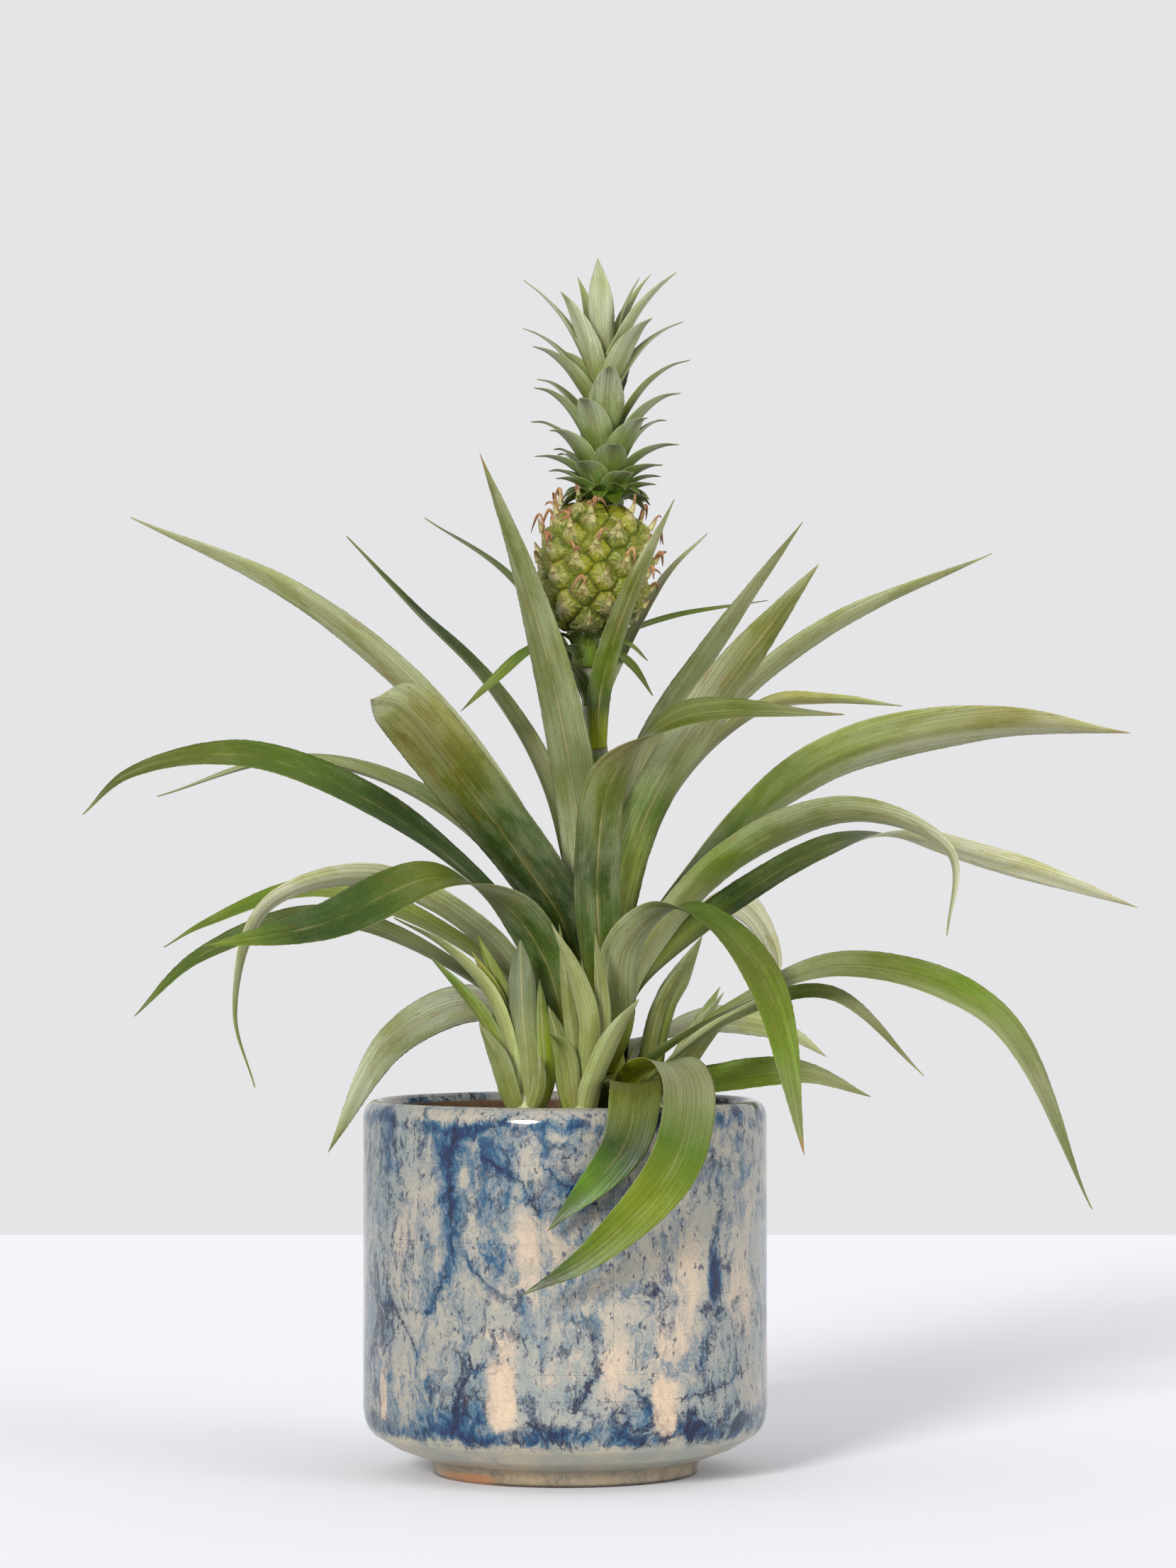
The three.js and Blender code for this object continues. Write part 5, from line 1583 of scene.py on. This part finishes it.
def fruit_relief(body):
    """How far each point is pushed out, and the numbers that the finish reads."""
    reach = np.linalg.norm(body[:, None] - eye_centre[None], axis=2)
    order = np.argsort(reach, axis=1)[:, :2]
    near = order[:, 0]
    first, second = np.take_along_axis(reach, order, 1).T
    border = (second - first) / 2
    local = body - eye_centre[near]
    sideways = (local * eye_east[near]).sum(1)
    upward = local[:, 2]
    angle = np.arctan2(upward, sideways)

    pyramid = border / (border + first + 0.01)
    boss = SHOULDER_RISE * (1 - np.exp(-border / GROOVE_WIDTH)) + PYRAMID_RISE * pyramid ** 0.8
    fold = np.sin(angle * 11 + near * 1.7) + 0.6 * np.sin(angle * 19 + near * 2.9)
    crease = CREASE_RISE * fold * np.exp(-((border - 1.2) / 1.0) ** 2)
    inset = BRACT_HALF_WIDTH * np.clip((BRACT_TOP - upward) / BRACT_LENGTH, 0, 1) - np.abs(sideways)
    shield = 1 / (1 + np.exp(np.clip(-inset / 0.2, -30, 30)))
    raised = BRACT_RISE * shield * np.clip((upward + 5.5) / 7, 0.1, 1)
    notch = np.exp(-(sideways / 0.7) ** 2) * np.clip((upward - 1.5) / 1.5, 0, 1)
    cleft = CLEFT_DEPTH * notch * (1 - shield)
    return boss + crease + raised - cleft, {
        "groove": np.exp(-border / GROOVE_WIDTH), "bract": shield * np.clip((upward + 4.5) / 3.5, 0, 1),
        "tone": eye_rng.uniform(0, 1, FRUIT_EYES)[near], "wither": np.zeros(len(body)),
        "fan": np.stack([angle * 3, first * 0.3, near * 5.0], axis=1)}


def fruit_skin(body, out):
    """The skin as one part. The relief fades at the two ends, where the body closes."""
    lift, numbers = fruit_relief(body)
    fade = np.clip((FRUIT_HALF_HEIGHT - np.abs(body[:, 2])) / 2, 0, 1)
    faces = tube_faces(SKIN_ROWS, SKIN_SIDES)
    return body + out * (lift * fade)[:, None], faces, [0] * len(faces), numbers


skin = fruit_skin(fruit_smooth, fruit_out)
print("the skin reaches", round(np.hypot(skin[0][:, 0], skin[0][:, 1]).max(), 1), "mm from the fruit's axis")

# %% [markdown]
# ## Fruit finish
# An eye is a shiny yellow-green, mottled and streaked outwards. The bract is cream and brown, and the
# grooves are a fresher green. The relief's own numbers tell the finish where these are, so colour and shape
# agree.


# %% Fruit finish
def fruit_finish():
    r = Recipe("pineapple_skin")
    place = r.place()
    mottle = r.noise(place, scale=360, detail=5, roughness=0.7)
    patch = r.noise(place, scale=90, detail=3)
    fan = r.noise(r.attribute("fan", "Vector"), scale=1.6, detail=4, roughness=0.6)
    colour = r.mix(r.attribute("tone"), colour_of("7d841a"), colour_of("a2a030"))
    colour = r.paint(colour, r.step(patch, 0.42, 0.62, 0, 0.6), "647816")
    colour = r.paint(colour, r.step(fan, 0.42, 0.66, 0, 0.75), "bdb95a")
    colour = r.paint(colour, r.step(mottle, 0.48, 0.68, 0, 0.65), "4b5c10")
    cream = r.add(r.attribute("bract"), r.step(fan, 0.3, 0.7, -0.5, 0.35))
    cream_colour = r.mix(r.step(mottle, 0.42, 0.62), colour_of("d5cb92"), colour_of("a58c4c"))
    colour = r.mix(r.step(cream, 0.35, 1.0, 0, 0.85), colour, cream_colour)
    colour = r.paint(colour, r.times(r.step(patch, 0.56, 0.66), r.step(fan, 0.5, 0.6, 0, 0.6)), "8a6238")
    groove_colour = r.mix(r.step(patch, 0.40, 0.58), colour_of("4c641a"), colour_of("8a9c3a"))
    colour = r.mix(r.step(r.attribute("groove"), 0.35, 0.90, 0, 0.8), colour, groove_colour)
    # darker towards the bottom: partly the lower eyes' darker green, partly painted shade
    colour = r.brightness(colour, r.step(r.height(place), 312, 330, 0.62, 0.86))
    bump = r.bump(r.add(mottle, r.times(fan, 1.5)), 0.6, 0.5)
    return r.finish(Base_Color=colour, Roughness=r.step(mottle, 0.3, 0.7, 0.24, 0.46), Normal=bump,
                    Specular_IOR_Level=0.4)


def dry_finish(name, low, pink, high, rough):
    """low and pink are two tones of one piece at its foot, and high is the colour of its withered end."""
    r = Recipe(name)
    streak = r.noise(r.place(), scale=900, detail=3)
    colour = r.mix(r.attribute("tone"), colour_of(low), colour_of(pink))
    colour = r.paint(colour, r.step(r.attribute("wither"), 0.25, 1.0), high)
    colour = r.brightness(colour, r.step(streak, 0.3, 0.7, 0.7, 1.25))
    return r.finish(Base_Color=colour, Roughness=rough, Normal=r.bump(streak, 0.4, 0.3))


fruit_finishes = [fruit_finish(), dry_finish("fruit_scale", "c3b87c", "b8b36a", "8f6a44", 0.45),
                  dry_finish("withered_flower", "cda06c", "b5805a", "70472f", 0.55)]
print("fruit finishes:", ", ".join(material.name for material in fruit_finishes))

# %% [markdown]
# ## Scales
# Each eye ends in a small pointed scale that bends up. Hair particles don't export as a mesh. Short
# tapering tubes do, and cost few triangles.

# %% Fruit scales
UPWARD = np.array([0, 0, 1.0])
SCALE_MATERIAL, FLOWER_MATERIAL = 1, 2
SCALE_RADIUS = 1.25


def strand(start, course, radii, flat, twist, material, tone, sides=8):
    """A tapering tube from start along course, with the numbers that the fruit's finishes read."""
    points, faces = tube(start + course, radii, sides, flat=flat, twist=twist)
    count = len(points)
    return points, faces, [material] * len(faces), {
        "groove": np.zeros(count), "bract": np.ones(count), "tone": np.full(count, tone),
        "wither": np.repeat(np.linspace(0, 1, len(radii)), sides), "fan": points * 0.4}


def scale_parts():
    """On each eye a small pointed scale that bends up."""
    parts = []
    rng = np.random.default_rng(11)
    s = np.linspace(0, 1, 9)
    for k in range(FRUIT_EYES):
        start = eye_centre[k] + eye_out[k] * 3.6 + UPWARD * 0.8
        lean = eye_out[k] * 0.7 + UPWARD * rng.uniform(0.7, 1.1)
        course = lean * (rng.uniform(2.6, 4.0) * s)[:, None] + UPWARD * s[:, None] ** 2
        parts.append(strand(start, course, SCALE_RADIUS * (1 - s) ** 0.7 + 0.04, 0.6, 0, SCALE_MATERIAL, 0.3))
    return parts


scales = scale_parts()
print("scales:", len(scales))

# %% [markdown]
# ## Withered flowers
# The upper eyes still carry dry petals, more of them near the crown. They are strands too, and random
# numbers give each its own length, curl, lift and swing.

# %% Withered flowers
FIRST_FLOWERING_EYE = 12


def flower_parts():
    """Dry petals on the upper eyes, curled and twisted, more of them near the top."""
    parts = []
    rng = np.random.default_rng(23)
    s = np.linspace(0, 1, 14)
    for k in range(FIRST_FLOWERING_EYE, FRUIT_EYES):
        if rng.uniform() > 0.45 + 0.5 * k / FRUIT_EYES:
            continue
        for petal in range(rng.integers(1, 4)):
            start = eye_centre[k] + eye_out[k] * 3.4 + UPWARD * 2.4 + eye_east[k] * rng.uniform(-0.6, 0.6)
            length = rng.uniform(5, 7) + 2.5 * (k / FRUIT_EYES) ** 2
            curl, lift, swing = rng.uniform(1.8, 4.8), rng.uniform(0.1, 0.55), rng.uniform(-0.9, 0.9)
            course = (eye_out[k] * (length * s * (1 - 0.45 * s))[:, None]
                      + UPWARD * (length * lift * np.sin(curl * s))[:, None]
                      + eye_east[k] * (length * swing * s ** 1.6 + 0.5 * np.sin(5 * s + k))[:, None])
            radii = rng.uniform(0.35, 0.62) * (1 - s ** 3) * (0.6 + 0.5 * np.sin(3 * s)) + 0.08
            twist = rng.uniform(-1.5, 1.5)
            parts.append(strand(start, course, radii, 0.35, twist, FLOWER_MATERIAL, rng.uniform()))
    return parts


flowers = flower_parts()
print("petals:", len(flowers))

# %% [markdown]
# ## Building the fruit
# Skin, scales and petals are joined with one material for each, and set on the stalk with the lean that the
# photograph shows.

# %% Fruit
fruit_points, fruit_faces, fruit_material, fruit_numbers = joined([skin, *scales, *flowers])
add_piece("fine_fruit", fruit_points, fruit_faces, fruit_finishes, "fruit", fruit_numbers,
          fruit_material, place=FRUIT_PLACE)
print("fruit faces:", len(fruit_faces))

# %% [markdown]
# ## Crown
# The tuft is a short stem packed with leaves. Scattering copies of one leaf would be quick, but the outline
# of each can be seen. So each has a row: its bearing, the height of its root, the height of its tip, how
# far out the tip reaches, and its width.

# %% Crown table
CROWN_PLACE = Matrix.Translation((14.8, 0, 359.6)) @ Matrix.Rotation(math.radians(-0.9), 4, "Y")
CROWN_BLADES = [
    (-98, 48, 91, 9, 13), (138, 47, 86, 12, 9), (32, 47, 87, 22, 9), (15, 46, 85, 15, 8),
    (-20, 47, 85, 30, 11), (168, 43, 85, 30, 10), (-137, 41, 78, 21, 12), (95, 40, 80, 20, 11),
    (21, 39, 69, 33, 9), (165, 36, 67, 31, 10), (-46, 40, 67, 27, 12), (-155, 34, 58, 29, 12),
    (60, 33, 64, 28, 11), (125, 32, 60, 28, 11), (-4, 26, 53, 33, 11), (-84, 23, 49, 26, 13.5),
    (158, 24, 48, 27, 10), (-165, 21, 43, 27, 11), (-17, 19, 40, 30.5, 12), (80, 22, 46, 29, 11),
    (-111, 18, 37.5, 24, 13), (17, 14, 31.5, 25, 10), (169, 14, 31.5, 28, 10), (110, 16, 37, 28, 11),
    (-49, 12.5, 30, 25, 13), (-148, 11, 26.5, 24, 13), (164, 9.5, 21, 20, 9), (-13, 10, 21, 29, 11),
    (85, 10, 25, 26, 10), (-79, 6, 20, 22, 13.5), (-166, 8, 17.5, 27, 10), (135, 8, 20, 25, 10),
    (-117, 5, 14, 22, 12), (-29, 6, 13, 25, 11), (60, 7, 17, 23, 10), (164, 5.5, 13, 22, 9.5),
    (7, 5, 10, 21.5, 9.5), (105, 5, 12, 22, 10), (-157, 4.5, 9, 20, 10), (-62, 4, 10, 21, 11),
    (-13, 3, 6.5, 20, 9.5),
]
print("blades that the photograph shows, and their hidden neighbours:", len(CROWN_BLADES))

# %% [markdown]
# ## One blade of the crown
# A blade leaves the short stem, rises and bends outwards. The upright ones bend less, and they are the
# younger. The lowest droop over the fruit. Most of those are hidden, so they are spaced by the golden
# angle.

# %% Crown blade helpers
YOUNGEST_TIP = 90         # a blade whose tip is this high stands upright
CROWN_CORE = (3, 8.6)     # the least and the greatest radius of the crown's short stem
CORE_SHOULDER = 14        # the height from which it narrows,
CORE_NARROWING = 0.11     # by this much a millimetre
CORE_DEPTH = 2            # how deep in it a blade is rooted
CROWN_FOOT_BLADES = 22


def crown_blade(number, bearing, root, tip, reach, width, arch=0):
    """A blade of the crown, with how upright it is as a number. arch lifts its middle."""
    upright = min(tip / YOUNGEST_TIP, 1)
    core_radius = CROWN_CORE[1] - (root - CORE_SHOULDER) * CORE_NARROWING
    inner = min(max(core_radius, CROWN_CORE[0]), CROWN_CORE[1]) - CORE_DEPTH
    course = [(0, 0), (0.17, 0.38 - 0.08 * upright), (0.44, 0.8 - 0.18 * upright),
              (0.74, 1.02 - 0.17 * upright), (1, 1)]
    aim = math.radians(bearing)
    spine = []
    for out, lift in course:
        distance = inner + (reach - inner) * out
        height = root + (tip - root) * lift + arch * math.sin(math.pi * out)
        spine.append((distance * math.cos(aim), distance * math.sin(aim), height))
    points, faces, face_material, numbers = blade(
        spine, (0, 0), 1.1 * width, [0, 0], [40, 38, 30, 26], base_width=1.0, taper_from=0.33, thickness=0.7,
        row_length=0.9, lanes=10, teeth=0.14, ripple=0.08, seed=100 + number)
    numbers["young"] = np.full(len(points), upright)
    return points, faces, face_material, numbers


def crown_foot_row(i):
    """A row as in the table, for one of the lowest blades. Every second one droops lower."""
    bearing = 20 + math.degrees(i * GOLDEN_ANGLE)
    low = 3 * (i % 2)
    root, tip, reach = 1.8 + 0.25 * (i % 4), 0.5 + 1.6 * (i % 3) - low, 16 + 1.2 * (i % 4)
    return bearing, root, tip, reach, 6.5, 2.6 + 0.4 * low


crown_rows = CROWN_BLADES + [crown_foot_row(i) for i in range(CROWN_FOOT_BLADES)]
crown_parts = [crown_blade(number, *row) for number, row in enumerate(crown_rows)]
print("blades in the crown:", len(crown_parts))

# %% [markdown]
# ## Colours of the crown
# The young leaves in the middle are pale and mealy, and the old ones below are green with dry tips. Each
# blade has both tints, and how upright it is decides how much of each shows. A short stem in the middle
# closes the gaps.

# %% Crown
# The young blades' upper tints are lightened as painted light, where the outer blades shade them.
CROWN_TINTS = {  # of an old blade, of a young one
    "under_tint": ("vivid vivid grass ash ash plum", "fern sage mist mist mist mist"),
    "upper_tint": ("green green green dusky plum", "fern fern fern sage sage silver"),
}

core_profile = [(0, -0.6), (6, 0), (8.0, 4), (8.0, 14), (6.5, 32), (4.2, 50), (0, 64)]
core = plain_part(*spin(dense_profile(core_profile, 2), 32), 0)
core[3]["young"] = np.zeros(len(core[0]))
crown_points, crown_faces, crown_material, crown_numbers = joined([*crown_parts, core])
young_share = crown_numbers.pop("young")[:, None]
for key, (old_tints, young_tints) in CROWN_TINTS.items():
    old, young = (tints_along(tints, crown_numbers["place"]) for tints in (old_tints, young_tints))
    crown_numbers[key] = old * (1 - young_share) + young * young_share
add_piece("fine_crown", crown_points, crown_faces, [leaf_upper, leaf_under], "crown",
          crown_numbers, crown_material, place=CROWN_PLACE)
print("crown faces:", len(crown_faces))

# %% [markdown]
# ## Side shoots
# Three young shoots stand at the foot of the plant, their short leaves wrapped round one another. Each leaf
# has a row again: its width, the bearing that its lower face looks in, the half angle of its gutter, its
# tints, and its points after the root.

# %% Left shoot
SHOOT_LEAVES = {
    "shoot_left": [
        (15, -90, 70, "butter sage pale ash ash ash", [(-13, -45, 149), (-15, -46, 170), (-16, -45, 198)]),
        (9, -75, 40, "butter lime green green", [(-7, -44, 147), (-8, -43, 163), (-9, -40, 184)]),
        (9, -110, 30, "lime lime lime", [(-19, -38, 158), (-24, -35, 180), (-32, -33, 200)]),
        (8, -110, 30, "lime yellow lime", [(-20, -40, 154), (-25, -39, 177), (-34, -38, 194)]),
        (7, -125, 35, "cream sage pale ash",
         [(-20, -44, 158), (-27, -45, 178), (-43, -47, 195), (-62, -50, 206)]),
        (8, -130, 35, "butter leafy vivid forest", [(-21, -42, 148), (-29, -41, 168), (-50, -39, 193)]),
        (8.5, -100, 45, "sage grey ash", [(-20, -49, 142), (-24, -51, 155), (-31, -52, 168)]),
        (6, -90, 45, "butter grey grey", [(-10, -49, 142), (-9, -50, 149), (-9, -50, 157)]),
    ],
}
print("leaves of the left shoot:", len(SHOOT_LEAVES["shoot_left"]))

# %% [markdown]
# ## The other two shoots
# The middle shoot is the smallest. The right one stands half behind the wide leaves and fans out. They
# could share rows that are turned and shrunk, but both can be seen too well for that.

# %% Middle and right shoots
SHOOT_LEAVES["shoot_centre"] = [
    (9, -90, 50, "cream sage pale grey", [(8, -48, 148), (9, -50, 168), (4, -50, 186), (-5, -49, 204)]),
    (6, -90, 40, "butter pale grey", [(4, -43, 150), (1, -42, 180), (-2, -42, 204)]),
    (6, -90, 40, "butter pale grey", [(9, -44, 158), (8, -44, 174), (6, -44, 191)]),
    (7, -80, 40, "butter pale silver", [(11, -44, 148), (14, -43, 170), (11, -41, 201)]),
    (10, -65, 45, "cream pale ash", [(10, -50, 144), (18, -56, 163), (27, -61, 177)]),
    (8, -95, 50, "butter grey green", [(3, -49, 142), (0, -53, 159), (-6, -58, 165)]),
    (10, -92, 30, "butter leafy moss dusky", [(1, -43, 146), (-2, -42, 160), (-6, -41, 174)]),
]
SHOOT_LEAVES["shoot_right"] = [
    (14.6, -61, 40, "butter fern pale silver", [(34, -1, 150), (38, -2, 170), (51, -5, 199)]),
    (7, -70, 35, "butter grey green", [(31, -4, 148), (35, -6, 172), (47, -8, 193)]),
    (7, -80, 40, "pale grey dusky", [(30, -4, 146), (31, -5, 158), (33, -6, 169)]),
    (8, 60, 30, "butter silver frost", [(40, 4, 146), (49, 6, 163), (58, 6, 180)]),
    (8, -57, 35, "butter silver frost", [(40, -1, 146), (48, -2, 161), (59, -4, 178)]),
    (8, -50, 35, "butter silver frost", [(41, -4, 141), (50, -7, 156), (62, -12, 171)]),
]
print("leaves of all the shoots:", sum(len(rows) for rows in SHOOT_LEAVES.values()))

# %% [markdown]
# ## Building the shoots
# A shoot is a low round foot with its leaves rooted near its middle, each a little higher than the one
# before. They are yellower at the foot and bluer at the tip than the plant's, so the same tints are
# multiplied with a wash of colour.

# %% Shoots
# Where each foot stands, x and y, and its radius
SHOOT_FEET = {"shoot_left": (-15, -44, 6), "shoot_centre": (6, -45, 6), "shoot_right": (36, 1, 5.5)}
ROOT_REACH = 3        # a leaf is rooted at most this far from the middle of the shoot
ROLLED_GUTTER = 70    # a leaf with this gutter is rolled up, and stays wide almost to its tip
FOOT_WASH = np.array((0.80, 0.84, 0.50, 1))
TIP_WASH = np.array((0.82, 0.84, 0.86, 1))
UPPER_WASH = np.array((0.62, 0.80, 0.40, 1))


def shoot_foot(x, y, radius):
    profile = [(0, -5), (radius, -5), (radius, 0.5), (radius - 2, 6), (0, 12)]
    points, faces = spin(dense_profile(profile, 2), 28)
    part = plain_part(points + (x, y, SOIL_LEVEL), faces, 1)
    part[3]["upper_tint"] = part[3]["under_tint"] = tints_along("cream cream", part[3]["place"])
    return part


def shoot_leaf(x, y, i, seed, width, bearing, gutter, tints, spine):
    """Leaf i of the shoot whose middle is at x and y."""
    east, north = spine[0][0] - x, spine[0][1] - y
    lean = min(1, ROOT_REACH / math.hypot(east, north))
    root = (x + east * lean, y + north * lean, SOIL_LEVEL + 0.6 + 0.3 * i)
    taper_from = 0.74 if gutter == ROLLED_GUTTER else 0.5
    part = blade([root, *spine], (x, y), width, [0, 0], [gutter, gutter], 0.8, taper_from, BLADE_THICKNESS,
                 row_length=1.0, lanes=12, bearing=bearing, teeth=0.12, seed=seed)
    along = part[3]["place"]
    wash = FOOT_WASH * (1 - along[:, None]) + TIP_WASH * along[:, None]
    part[3]["under_tint"] = tints_along(tints, along) * wash
    part[3]["upper_tint"] = part[3]["under_tint"] * UPPER_WASH
    return part


def add_shoot(name):
    x, y, radius = SHOOT_FEET[name]
    points, faces, face_material, numbers = joined([shoot_foot(x, y, radius)] + [
        shoot_leaf(x, y, i, 40 + 7 * i + len(name), *row) for i, row in enumerate(SHOOT_LEAVES[name])])
    return add_piece(f"fine_{name}", points, faces, [leaf_upper, shoot_face], name, numbers,
                     face_material)


shoots = [add_shoot(name) for name in SHOOT_LEAVES]
print("shoot faces:", sum(len(shoot.data.polygons) for shoot in shoots))

# %% [markdown]
